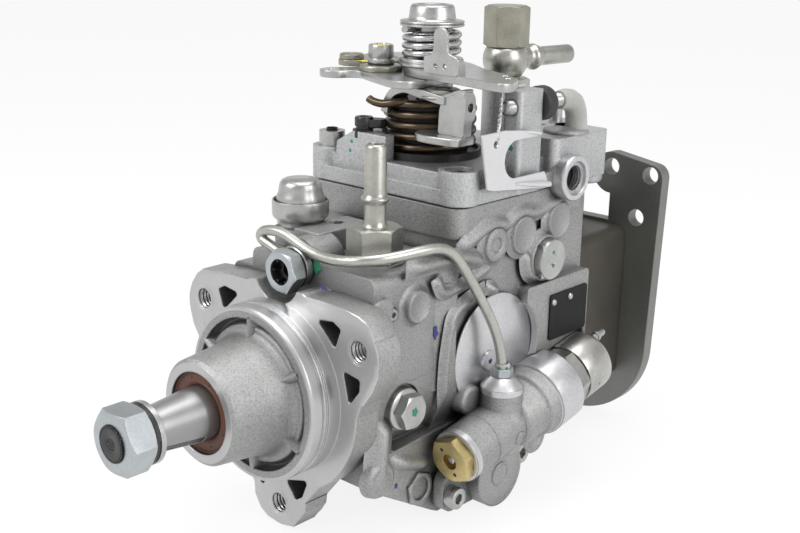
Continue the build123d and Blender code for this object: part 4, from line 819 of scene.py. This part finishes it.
# Throttle stack
def throttle_stack():
    """The springs and the cap on the throttle's axis."""
    x, y = THROTTLE
    spots = helix(x, y, 81.4, 17.8, 4.35, 4.6, start=150)
    tube("return_coil", spots, 1.75, SPRING, ["return_spring"])
    tube("upper_coil", helix(x, y, 118.9, 11, 3.05, 3.1, start=200), 1.35, BRIGHT_SPRING, ["upper_spring"],
         body="throttle")
    tube("inner_coil", helix(x, y, 118.3, 7.4, 2.3, 4.4, start=20), 0.9, BRIGHT_SPRING, body="throttle")
    lathe("cap_discs", (x, y, CAP_Z), Z,
          [(5, 0), (12.3, 0), (12.9, 0.25), (13, 0.6), (12.9, 0.95), (12.4, 1.15), (12.4, 1.3), (12.8, 1.45),
           (13, 1.75), (12.9, 2.1), (12.3, 2.35), (5, 2.35)], ZINC, ["spring_cap"], body="throttle")
    lathe("cap", (x, y, CAP_Z), Z,
          [(10.4, 2.3), (9.9, 2.5), (9.5, 3.1), (9.3, 4.2), (8.9, 7.4), (8.5, 8.1), (7.9, 8.45), (6.6, 8.5),
           (6.1, 8.3), (5.7, 7.9), (0, 7.8)], ZINC, sharp=50, body="throttle")


# Throttle lever: two sheets, tab, bolt, and the bent bracket round the return spring
def lever_sheets():
    """The levers on the throttle, cut from sheet."""
    x, y = THROTTLE
    blade = rounded([(-8, 76.5), (3, 69), (17.5, 67.2), (30, 66.2), (46, 62.6), (53.6, 61.6), (55.4, 66),
                     (50.5, 77), (36, 86), (22, 92), (6, 103), (-14, 110.5), (-40, 112.5), (-44, 105),
                     (-30, 97), (-18, 88)], 5)
    slab("lever_blade", blade, flat_z(112.6), 3.3, ZINC, [(x, y, 5.2), (40.5, 81, 1.7), (46, 75.5, 1.5)],
         hides=["lever_plate"], bevel=0.3, body="throttle")
    arm = rounded([(-38.5, 72.5), (-42.6, 68.6), (-42, 61.6), (-35.6, 58.4), (-30.4, 61.2), (-28.8, 66.2),
                   (-24.5, 69), (-14, 64), (2, 57.5), (10, 58), (12, 66), (8, 90), (-12, 100), (-32, 92),
                   (-34, 80)], 4.5)
    slab("lever_arm", arm, flat_z(109.3), 3, ZINC, [(x, y, 5.2), (-37, 65, 1.6)], bevel=0.3,
         body="throttle")
    stud = rounded([(-40, 85), (-45.4, 82), (-45.2, 75.6), (-39.4, 73.2), (-33.8, 76.4), (-28, 84),
                    (-24, 88), (-24, 104), (-44, 109), (-51.6, 102), (-48, 94)], 4)
    slab("lever_upper_arm", stud, flat_z(112.3), 2.6, YELLOW_ZINC, [(-39.8, 79.2, 1.2)], bevel=0.3,
         body="throttle")
    lathe("lever_hub", (x, y, 0), Z, [(5.1, 103), (8.6, 103), (9, 103.4), (9, 107.8), (5.1, 107.8)], ZINC,
          body="throttle")
    lathe("lever_disc", (x, y, 0), Z,
          [(5.2, 114.2), (12.4, 114.2), (13, 114.6), (13, 115.2), (12.6, 115.6), (12.9, 116), (13, 116.8),
           (12.5, 117.5), (5.2, 117.6)], ZINC, body="throttle")
    hexagon("lever_nut", (16.5, 72.5, 0), Z, 13, 104.6, 107.8, FITTING, 3, turn=8, body="throttle")
    lathe("lever_nut_washer", (16.5, 72.5, 0), Z,
          [(3.2, 104.2), (8.4, 104.2), (8.8, 104.5), (8.8, 105.1), (8.4, 105.4), (3.2, 105.4)], FITTING,
          body="throttle")


def lever_tab():
    """The upright tab with two holes, and its bent ear."""
    stem = rounded([(12.2, 113.9), (29, 113.9), (29.2, 120.6), (26.6, 121.6), (24.4, 122.2), (23.8, 124.5),
                    (23.6, 130), (21.8, 131.6), (18.6, 131.4), (17, 129.6), (17, 123.6), (16.2, 121.6),
                    (14.2, 120.6), (12.2, 120.4)], 1.2)
    slab("lever_tab", stem, flat_y(66.6), 1.4, ZINC, [(18.1, 117, 0.95), (22.8, 117.2, 0.95)], bevel=0.2,
         body="throttle")
    ear = rounded([(66, 114), (71, 114), (70.6, 119.4), (66, 120.6)], 1)
    slab("lever_tab_ear", ear, flat_x(28.6), 1.3, ZINC, bevel=0.2, body="throttle")


def lever_parts():
    """The bolt on the lever, its paint and the rivet."""
    z = 111
    x, y = -20.6, 76.8
    lathe("bolt_foot", (x, y, z), Z,
          [(0, -0.4), (8.3, -0.4), (8.8, 0), (8.9, 0.8), (8.9, 1.6), (8.6, 2.1), (8, 2.3), (0, 2.3)],
          YELLOW_ZINC, ["lever_bolt"], body="throttle")
    lathe("bolt_washer", (x, y, z), Z, [(0, 2.2), (5.3, 2.2), (5.5, 2.4), (5.5, 2.9), (0, 3)], RUBBER,
          body="throttle")
    lathe("bolt_head", (x, y, z), Z,
          [(5.2, 2.9), (5.4, 3.2), (5.3, 4.6), (4.9, 4.9), (4.9, 5.2), (5.2, 5.5), (5.2, 9.8), (4.9, 10.4),
           (4.2, 10.6), (2.6, 10.6), (2.4, 10.2), (2.3, 7.4), (0, 7.3)], ZINC, sharp=45, body="throttle")
    for i, (dx, dy, size) in enumerate([(1.4, -2.2, 1.3), (3.1, -0.4, 1), (-0.6, -3.2, 0.8)]):
        dab("bolt_paint_%d" % i, (x + dx, y + dy, z + 10.55), Z, size, YELLOW_MARK, 1.4, body="throttle")
    dab("arm_paint", (-30.5, 77.5, 113.6), Z, 1.8, YELLOW_MARK, 1.8, body="throttle")
    lathe("arm_rivet", (-39.8, 79.2, 111), Z,
          [(0, 2.4), (4.6, 2.4), (5.2, 2.8), (5.3, 3.4), (5.1, 4.6), (4.5, 5), (1.2, 5.1), (0.8, 4.8),
           (0, 4.8)], YELLOW_ZINC, body="throttle")


def ribbon(name, spine, low_y, high_y, thick):
    """A zinc sheet bent along a spine of (x, z) points, between two places along Y."""
    bm = bmesh.new()
    rows = []
    count = len(spine)
    for i, p in enumerate(spine):
        before, after = Vector(spine[max(0, i - 1)]), Vector(spine[min(count - 1, i + 1)])
        way = (after - before).normalized()
        side = Vector((-way.y, way.x)) * thick / 2
        a, b = Vector(p) + side, Vector(p) - side
        section = ((a.x, low_y, a.y), (a.x, high_y, a.y), (b.x, high_y, b.y), (b.x, low_y, b.y))
        rows.append([bm.verts.new(q) for q in section])
    skin(bm, rows)
    bm.faces.new(rows[0])
    bm.faces.new(rows[-1])
    solid(name, bm, ZINC, bevel=0.35, sharp=50, body="throttle")


def bracket():
    """The bent bracket round the return spring."""
    hump = smooth_line([(-7.4, 96.4), (-6.4, 100), (-4, 103.8), (-0.6, 106), (4, 107), (9, 106.2),
                        (15, 105.4), (20.5, 104.6), (24, 104.4)])
    ribbon("bracket_hump", hump, 64.6, 74, 3.4)
    top = smooth_line([(20, 104.6), (26, 106.6), (30, 108), (33.4, 108.4)])
    ribbon("bracket_top", top, 65.6, 71, 2)
    web = rounded([(20.4, 91.2), (33.4, 91.2), (33.6, 108.4), (30, 108), (22.4, 105.2), (20.9, 101)], 1.6)
    slab("bracket_web", web, flat_y(66.4), 1.8, ZINC, bevel=0.35, body="throttle")
    side = rounded([(66, 89.8), (70.2, 89.8), (70.6, 96.5), (72.4, 98), (72.8, 101.4), (72.4, 106.2),
                    (70.4, 108.6), (66, 108.6)], 1.3)
    slab("bracket_side", side, flat_x(32.6), 1.8, ZINC, [(69.6, 102.4, 1.6)], bevel=0.3, body="throttle")
    foot = rounded([(12, 72.4), (9.4, 66), (13, 60.4), (20, 58.6), (34.4, 60.2), (34.8, 72.4)], 3.2)
    slab("bracket_foot", foot, flat_z(89.8), 3, ZINC, bevel=0.4, body="throttle")
    tube("bracket_wire",
         [(-12.6, 61.6, 101.6), (-11, 61.6, 100.8), (-8, 61.8, 100.2), (-4, 62.6, 100.2), (0.5, 64.6, 101.4),
          (2.5, 68, 102)], 1.6, SPRING, body="throttle")


def banjo_union():
    """Return union with its ball, barb and cap."""
    x, y, z = 2.6, 130, 101
    hexagon("union_seat", (x, y, 0), Z, 19, z + 0.1, z + 5, FITTING, hides=["return_union"], turn=12)
    ball_r, ball_z = 9.8, 12.6
    ball = [(6.5, 4.8), (6.4, 5.3)]
    for i in range(15):
        t = math.radians(-46 + i * 78 / 14)
        ball.append((ball_r * math.cos(t), ball_z + ball_r * math.sin(t)))
    ball += [(8, 17.9), (7.8, 18), (0, 18)]
    lathe("union_ball", (x, y, z), Z, ball, FITTING, sharp=50)
    lathe("union_barb", (x, y, z + 12.5), (0.27, 0.963, 0.03),
          [(6.2, 6.5), (5.3, 9), (4.6, 10.8), (4.5, 12.2), (5, 13), (5.6, 13.8), (5.7, 14.8), (5.2, 16),
           (4.7, 17.2), (4.2, 18), (4.1, 19), (4.05, 34), (3.7, 35), (3.1, 35.4), (2.6, 35.3), (2.5, 34.6),
           (2.4, 28), (0, 27.8)], FITTING, steps=48, sharp=60)
    hexagon("union_cap", (x, y, 0), Z, 17, z + 17.9, z + 35.3, YELLOW_ZINC, hides=["return_bolt"], turn=12,
            crown=0.96)


def stop_parts():
    """Stop screw, rubber ring and the vent elbow."""
    x, z = STOP_AXIS
    lathe("stop_dome", (x, 0, z), Y, [(0, 84.6), (1.7, 84.6), (2.4, 85), (2.5, 85.4), (2.5, 90)], ZINC,
          ["stop_screw"], steps=48, sharp=60)
    thread("stop_tip", (x, 85.2, z), Y, 2.5, 0.5, 1, 4.6, ZINC)
    lathe("stop_ring", (x, 0, z), Y,
          [(3, 104.6), (6.2, 104.6), (6.8, 105.1), (7, 106), (7, 109.8), (6.7, 110.9), (5.9, 111.7),
           (3, 112)], RUBBER, ["stop_cap"], steps=56, sharp=60)
    thread("stop_stud", (x, 104.6, z), Y, 2.55, 0.45, 1, 22, ZINC)
    elbow = [(38, 120.5, 101), (38, 124, 101), (38, 128, 100.6), (38, 131.5, 98.6), (38, 133.4, 95),
             (38, 134, 91), (38, 134.2, 86.5)]
    tube("stop_elbow", elbow, 4.6, BONE, taper=[0.82, 0.95, 1, 1, 1, 1, 1.05])


# Small pieces on the governor cover
def cover_parts():
    """Stop block, port, bosses and paint on the governor cover."""
    lathe("stop_block", (-15.1, 61.5, 0), Z,
          [(0, 85.6), (4.4, 85.6), (4.6, 86), (4.6, 89), (3.2, 89.4), (3.2, 90.2), (3.7, 90.4), (3.8, 90.8),
           (3.8, 93.6), (3.5, 94.1), (1.9, 94.2), (1.7, 93.8), (1.6, 92.2), (0, 92.1)], BLACK, steps=40)
    arm = rounded([(-16.5, 62.6), (-12, 60.2), (-8, 63), (-7.6, 67.4), (-11, 69.2), (-16, 66.6)], 1.4)
    slab("stop_arm", arm, flat_z(91.6), 3.2, BLACK, bevel=0.4)
    hexagon("stop_post", (-11, 65.8, 0), Z, 6.2, 80, 89.9, ZINC, turn=5)
    dab("cover_paint_0", (-17.6, 57.05, 84.2), (0, -1, 0), 0.8, TEAL_MARK, 1)
    dab("cover_paint_1", (-18.4, 57.05, 80.4), (0, -1, 0), 0.9, TEAL_MARK, 0.8)
    dab("cover_paint_2", (38.3, 89, 85.2), (0, -1, 0), 1.1, TEAL_MARK, 1.2)
    x, y, z = 48, 121.5, 69.8
    lathe("port_rim", (0, y, z), X,
          [(9.2, 43.2), (9.5, 46.6), (9.5, 47.8), (9.1, 48.3), (7.2, 48.4), (7, 48), (6.9, 46.9),
           (6.3, 46.5), (5.7, 46.2), (5.5, 45.7), (5.2, 45)], MACHINED, steps=72, sharp=40)
    thread("port_thread", (42.6, y, z), X, 5.2, -0.5, 1.2, 3.6, CAST)
    # A black disc at the bottom of the port: painted shade for the bore's depth
    lathe("port_floor_shade", (0, y, z), X, [(5.3, 42.75), (3.2, 42.7), (3, 42.66), (0, 42.65)], BLACK)
    foot = [(9.4, 86), (9.6, 87), (9, 87.6), (5.4, 88.4), (4.8, 89.2)]
    lathe("elbow_foot", (34.5, 132, 0), Z, foot, CAST, steps=48, sharp=60)
    lathe("rear_boss", (35, 148.5, 0), Z,
          [(0, 62.4), (5.2, 62.6), (6.4, 63.2), (6.9, 64.4), (7, 79.2), (6.6, 80), (3.4, 80.1)], COVER,
          steps=56, sharp=60)
    # Black hexagons in the cover screws' heads: painted shade for their sockets
    for i, (cx, cy, cz) in enumerate([(-34.5, 62.5, 87), (34.5, 62.5, 79), (33.5, 135, 79)]):
        lathe("socket_%d" % i, (cx, cy, cz), Z, [(2.5, 0.06), (2.4, -0.2), (2.3, -0.9), (0, -1)], BLACK,
              steps=6)


# Cast ribs, fillets and bosses on the housing's side
def rib(name, points, width, height):
    """A low rib that swells out of a surface that faces +X, along points on it."""
    bm = bmesh.new()
    line = smooth_line(points, 5)
    last = len(line) - 1
    sunk = 0.7
    rows = []
    for i, p in enumerate(line):
        here = Vector(p)
        way = (Vector(line[min(i + 1, last)]) - Vector(line[max(i - 1, 0)])).normalized()
        side = Vector(X).cross(way).normalized()
        end = min(1, min(i, last - i) / 4)
        row = []
        for k in range(11):
            share = k / 5 - 1
            swell = height * end * math.cos(math.pi * share / 2) ** 2
            row.append(bm.verts.new(here + side * (share * width / 2) + Vector((swell - sunk, 0, 0))))
        rows.append(row)
    skin(bm, rows, closed=False)
    solid(name, bm, CAST, sharp=70)


def boss(name, x, y, z, radius, reach, skirt=3, hole=0):
    """A cast boss with a filleted foot, a rounded rim and a hole on request."""
    profile = [(radius + skirt, x - 0.3), (radius + skirt * 0.55, x + 0.25),
               (radius + skirt * 0.22, x + 0.9), (radius + 0.25, x + reach * 0.55),
               (radius + 0.1, x + reach - 0.5), (radius - 0.4, x + reach + 0.05)]
    if hole > 0:
        profile += [(hole + 0.7, x + reach + 0.05), (hole + 0.1, x + reach - 0.5), (hole, x + reach - 1.4),
                    (hole * 0.9, x + reach - 4.5), (0, x + reach - 4.7)]
    else:
        profile += [(radius - 1.1, x + reach + 0.02), (radius - 1.3, x + reach - 0.15),
                    (0, x + reach - 0.15)]
    lathe(name, (0, y, z), X, profile, CAST, steps=48, sharp=50)


def housing_side():
    """Bosses, plug, ribs and the dish on the housing's right side."""
    boss("side_boss_0", 41, 76.8, 49, 6.7, 2.6, 3, 2.6)
    boss("side_boss_1", 41, 94.9, 49.7, 7.7, 2.3, 2.6)
    boss("side_boss_2", 41, 119, 51.7, 7.7, 2.3, 2.6)
    boss("side_boss_3", 38.5, 33.7, 33.1, 6.2, 3.4, 3)
    dab("boss_mark", (42.2, 77.6, 49.2), X, 1.4, BLUE_MARK, 1)
    lathe("plug_seat", (0, 110.6, 37), X,
          [(13, 40.8), (11.2, 41.3), (10.2, 42.2), (9.9, 43), (9.4, 43.4), (8.9, 43.3)], CAST, steps=56,
          sharp=60)
    lathe("plug_cap", (0, 110.6, 37), X,
          [(8.7, 42.6), (8.7, 46), (8.3, 46.6), (7.6, 46.8), (2.5, 46.8), (2.3, 46.5), (0, 46.5)], ZINC,
          ["side_plug"], steps=56, sharp=40)
    flat = rounded([(103.6, 29.8), (107, 29.8), (107, 44.2), (103.6, 44.2)], 0.5)
    slab("plug_flat", flat, flat_x(45.2), 2, ZINC, bevel=0.2)
    for i, (y, z) in enumerate([(110.4, 40.2), (110.6, 34.4)]):
        dab("plug_paint_%d" % i, (46.8, y, z), X, 0.8, GREEN_MARK, 1.2)
    runs = {"rib_upper": [(41.2, 57, 49.5), (41.4, 62, 52.8), (41.6, 70, 56), (41.6, 77, 57.4),
                          (41.6, 84.4, 55.8), (41.6, 89.4, 58), (41.6, 95, 59.2), (41.6, 101.8, 57.8),
                          (41.6, 108, 58), (41.6, 116, 59.6), (41.6, 124, 59.4)],
            "rib_deck": [(41, 27, 48.8), (41.2, 36, 48.2), (41.2, 45, 48.2), (41.3, 57, 47.3),
                         (41.3, 66, 45), (41.3, 72, 42)],
            "rib_right": [(41.3, 99.6, 42.4), (41.4, 99.2, 38), (41.5, 100.4, 33.6), (41.6, 104, 30.6),
                          (41.8, 110, 28.6)],
            "rib_dish": [(40, 51.2, -12), (40.3, 50.2, -4), (40.6, 50.2, 4), (40.8, 50.6, 10), (41, 52, 19),
                         (41, 53.6, 24.4), (41, 58, 27.6), (41, 66, 30.2), (41, 74, 31.4)],
            "rib_dish_top": [(41, 74, 31.4), (41, 78, 30.4), (41, 82, 27.4)]}
    for name, points in runs.items():
        rib(name, points, 6.4 if "dish" in name else 8.4, 2.6)
    step = smooth_line([(41, 44, 42), (41.2, 46.6, 36.4), (41.2, 52, 35), (41.2, 60, 36.4), (41.3, 69, 38.6),
                        (41.4, 76, 41)], 2)
    rib("rib_step", step, 6.4, 1.9)
    lower_side()
    lathe("dish_floor", (0, 80.2, 3.4), X, [(24.4, 40.6), (24.3, 41.15), (24, 41.3), (0, 41.3)], MACHINED,
          steps=96, sharp=40)
    lathe("dish_disc", (0, 76.4, 0.6), X, [(4.4, 41.2), (4.3, 42), (3.9, 42.3), (0, 42.3)], MACHINED,
          steps=48)
    dab("dish_mark", (42.35, 76.6, 0.4), X, 1, BLUE_MARK, 1.1)
    slab("step_ramp", [(38.2, 45), (41.05, 55.2), (41.05, 56), (37, 56), (37, 45)], flat_z(20.5), 51, CAST,
         bevel=0.2)
    dab("side_drop", (38.9, 46, 19.4), (1, -0.28, 0), 2.6, BLUE_MARK, 0.4)
    # Deck block with its hole, and the paint beside the union
    block = [(-11.4, 19.6), (2.3, 19.6), (2.3, 48), (-11.4, 48)]
    slab("deck_block", block, flat_z(51), 10, CAST, [(-6.9, 37.6, 2.9)], bevel=0.4)
    dab("union_paint_0", (9, 11.8, 46.2), (0, -1, 0.15), 2.2, GREEN_MARK, 1.2)
    dab("union_paint_1", (6.4, 6.4, 48.6), (0.7, 0, 0.7), 0.7, GREEN_MARK, 1)
    dab("lobe_mark", (18.6, 6, 41.5), (0.3, -0.1, 1), 1, BLUE_MARK, 1.6)


def lower_side():
    """Cast column, ledge and raised hexagon on the lower front of the housing."""
    column = [(36.2, 18.5, -7), (37.4, 17.6, -14), (38.2, 16.2, -21), (38.4, 15.2, -29), (38.2, 15, -33)]
    rib("lower_column", column, 15, 4.6)
    lathe("column_foot", (0, 15, -31), X,
          [(8.2, 37), (7.6, 39.6), (6.6, 41.2), (5, 41.7), (4.6, 41.5), (4.2, 41.75), (0, 41.8)], CAST,
          steps=56, sharp=60)
    rib("lower_ledge", [(38.3, 22, -27), (38.4, 30, -29.6), (38.4, 38, -32.2), (38.4, 46, -34.6)], 9, 3.6)
    hexagon("lower_relief", (0, 39.5, -44), X, 13, 37.6, 39.4, CAST, 4.6, turn=10, x_dir=Y)
    lathe("lower_screw_head", LOWER_SCREW, X,
          [(4.4, 45.1), (4.55, 45.6), (4.5, 48.6), (4.2, 49.3), (3.4, 49.7), (2.3, 49.8), (2.1, 49.6),
           (1.95, 48.8)], ZINC, steps=48, sharp=60)
    # A black hexagon in the screw's head: painted shade for its socket
    lathe("lower_screw_socket_shade", LOWER_SCREW, X, [(2.05, 49.3), (1.7, 49), (0, 48.95)], BLACK, steps=6)
    dab("lower_mark_blue", (38.1, 26.2, -38.3), X, 1.1, BLUE_MARK, 0.7)


# Wires that hang the tag
def tag_wires():
    """The lips of the tag and the two wires wound round one another."""
    tube("tag_lip", [(45.6, 84, 72.9), (46.4, 90, 71.9), (47, 97, 70.9), (47, 104.2, 69.9)], 1.2, TAG,
         taper=[0.4, 0.8, 1, 1], body="id_tag")
    tube("tag_upper_lip", [(45.4, 90, 92.4), (46.2, 94, 91.9), (46.6, 97, 91.2)], 0.8, TAG,
         taper=[0.5, 1, 1], body="id_tag")
    route = smooth_line([(45.4, 71.2, 91.6), (44.8, 72.4, 94.2), (43.4, 74.6, 97.4), (40.6, 79, 102.2),
                         (37.6, 83.4, 106.4), (35.8, 87.6, 108), (35, 91.6, 108.4), (35, 96, 108.4)], 10)
    wires, swing, twist = 2, 0.62, 0.9
    for k in range(wires):
        spots = []
        for i, (x, y, z) in enumerate(route):
            turn = i * twist + k * 2 * math.pi / wires
            spots.append((x + swing * math.cos(turn), y + swing * math.sin(turn), z))
        tube("tag_wire_%d" % k, spots, 0.26, BRIGHT_SPRING, body="id_tag")


# Advance unit
def advance_parts():
    """Plug, collar and solenoid of the advance unit, and the bosses near it."""
    t = math.radians(ADVANCE_TILT)
    axis = (0, math.cos(t), math.sin(t))
    at = ADVANCE_FRONT
    hexagon("advance_hexagon", at, axis, 17, -1.2, 3.4, BRASS, 3.3, hides=["advance_plug"], x_dir=X, turn=10,
            crown=0.99)
    lathe("advance_stem", at, axis, [(3.4, -0.7), (3.3, 1.4), (0, 1.5)], BRONZE, steps=32)
    lathe("advance_tip", at, axis, [(0, -0.2), (1.4, 0), (1.9, 0.6), (2, 1.6)], BRIGHT_SPRING, steps=32)
    lathe("advance_rim", at, axis, [(8.8, 3), (9.6, 2.85), (10.5, 2.95), (10.95, 3.4), (10.95, 6)],
          MACHINED)
    lathe("advance_collar", at, axis,
          [(12.4, 52.2), (14.6, 52.2), (15.6, 52.7), (15.84, 53.5), (15.84, 66.5), (15.82, 67.3), (15, 67.6),
           (12.7, 67.7)], MACHINED, steps=96)
    lathe("advance_seal", at, axis, [(12.6, 67.6), (14.1, 67.7), (14.3, 68.2), (14.1, 68.7), (12.8, 68.8)],
          RUBBER)
    lathe("solenoid_can", at, axis,
          [(11.8, 76.4), (13.1, 76.5), (13.3, 76.9), (13.3, 90.8), (13, 92.2), (12.2, 93), (10.6, 93.3),
           (10.4, 93), (0, 92.9)], CAN, ["advance_solenoid"], steps=72, sharp=50)
    up = Vector((0, -math.sin(t), math.cos(t)))
    pin = Vector(at) + up * 7.5
    lathe("terminal_base", pin, axis, [(3.4, 92.6), (3.4, 95.4), (3, 95.9), (1.9, 96)], BLACK, steps=32)
    lathe("terminal_pin", pin, axis,
          [(1.7, 95.8), (1.7, 99.2), (2.3, 99.5), (2.3, 100.7), (1.7, 101), (1.7, 104.8), (1.3, 105.6),
           (0, 105.7)], ZINC, steps=32)

    def ring(away, radius, share):
        """A point at a distance along the unit's axis and a radius from it."""
        out = Vector(X) * math.cos(share) + up * math.sin(share)
        return Vector(at) + Vector(axis) * away + out * radius

    for i, share in enumerate((2.2, 5.1)):
        spot = ring(-1.2, 5.6, share)
        dab("brass_spot_%d" % i, spot, [-c for c in axis], 0.8, DARK)
    lathe("seam", at, axis, [(10.95, 17), (11.25, 17.2), (11.25, 17.8), (10.95, 18)], CAST, steps=72)
    lathe("unit_shoulder", at, axis,
          [(11, 34), (12.2, 34.8), (12.7, 36), (12.8, 45.6), (13.2, 46.6), (14.2, 47), (14.4, 47.6),
           (14.4, 50.2), (14.9, 50.8), (15.2, 52.6)], CAST, steps=64, sharp=60)
    spot = ring(30, 10.6, -0.25)
    lathe("unit_mark", spot, (0.97, 0.03, -0.24), [(3, 0), (2.9, 0.6), (2.2, 0.65), (2, 0.35), (0, 0.35)],
          CAST, steps=40)
    lathe("lower_mark", LOWER_DISC, X, [(5.2, -0.2), (5.1, 0.35), (4.4, 0.4), (4.2, 0.12), (0, 0.1)], CAST,
          steps=48)
    lathe("lower_rim", LOWER_DISC, X, [(13.5, -4), (13.7, -0.6), (13.3, 0.1), (12.6, 0.25), (12, 0.05)],
          CAST, steps=72, sharp=60)
    lathe("can_dot", ring(83, 13.2, -0.3), (0.95, 0, -0.3), [(0.7, 0), (0.5, 0.12), (0, 0.12)], BLACK,
          steps=20)
    lathe("column_fillet", COLUMN, Z, [(10.2, -19.6), (9.3, -17.6), (8.9, -15.2), (8.65, -12.6)], CAST,
          steps=56, sharp=60)
    lathe("column_top", COLUMN, Z,
          [(2.3, -3), (4.6, -3), (5.2, -3.4), (8.1, -6.6), (8.7, -7.3), (8.75, -9.4)], MACHINED)
    hexagon("can_hexagon", at, axis, 24.6, 69, 76, CAN, 12, crown=0.985, x_dir=X, turn=22)
    lathe("back_boss", (0, 63.5, -12.4), X, [(6.2, 38), (6.1, 43.4), (5.6, 44.1), (4.4, 44.3), (0, 44.3)],
          CAST, steps=48, sharp=60)
    lathe("under_boss", (0, 99.5, -37.9), X,
          [(7.4, 36), (7.3, 49.4), (6.9, 50), (5.6, 50.1), (5.4, 49.8), (0, 49.8)], CAST, steps=48,
          sharp=60)


def label():
    """The bare label and its rivets."""
    x = LABEL_X
    slab("label_face", rounded([(112.5, 0.4), (139.5, 0.4), (139.5, 20.5), (112.5, 20.5)], 1.6),
         flat_x(x + 0.35), 0.62, LABEL, hides=["label_plate"], bevel=0.1)
    for i, (y, z) in enumerate([(126.8, 17.2), (115, 17)]):
        lathe("label_rivet_%d" % i, (x + 0.6, y, z), X, [(0, 0.95), (0.8, 0.85), (1.3, 0.5), (1.5, 0)], ZINC,
              steps=24)


front_end()
lock_parts()
fittings()
feed_pipe()
throttle_stack()
lever_sheets()
lever_tab()
lever_parts()
bracket()
banjo_union()
stop_parts()
cover_parts()
housing_side()
tag_wires()
advance_parts()
label()

photo_camera()
studio()
floor()
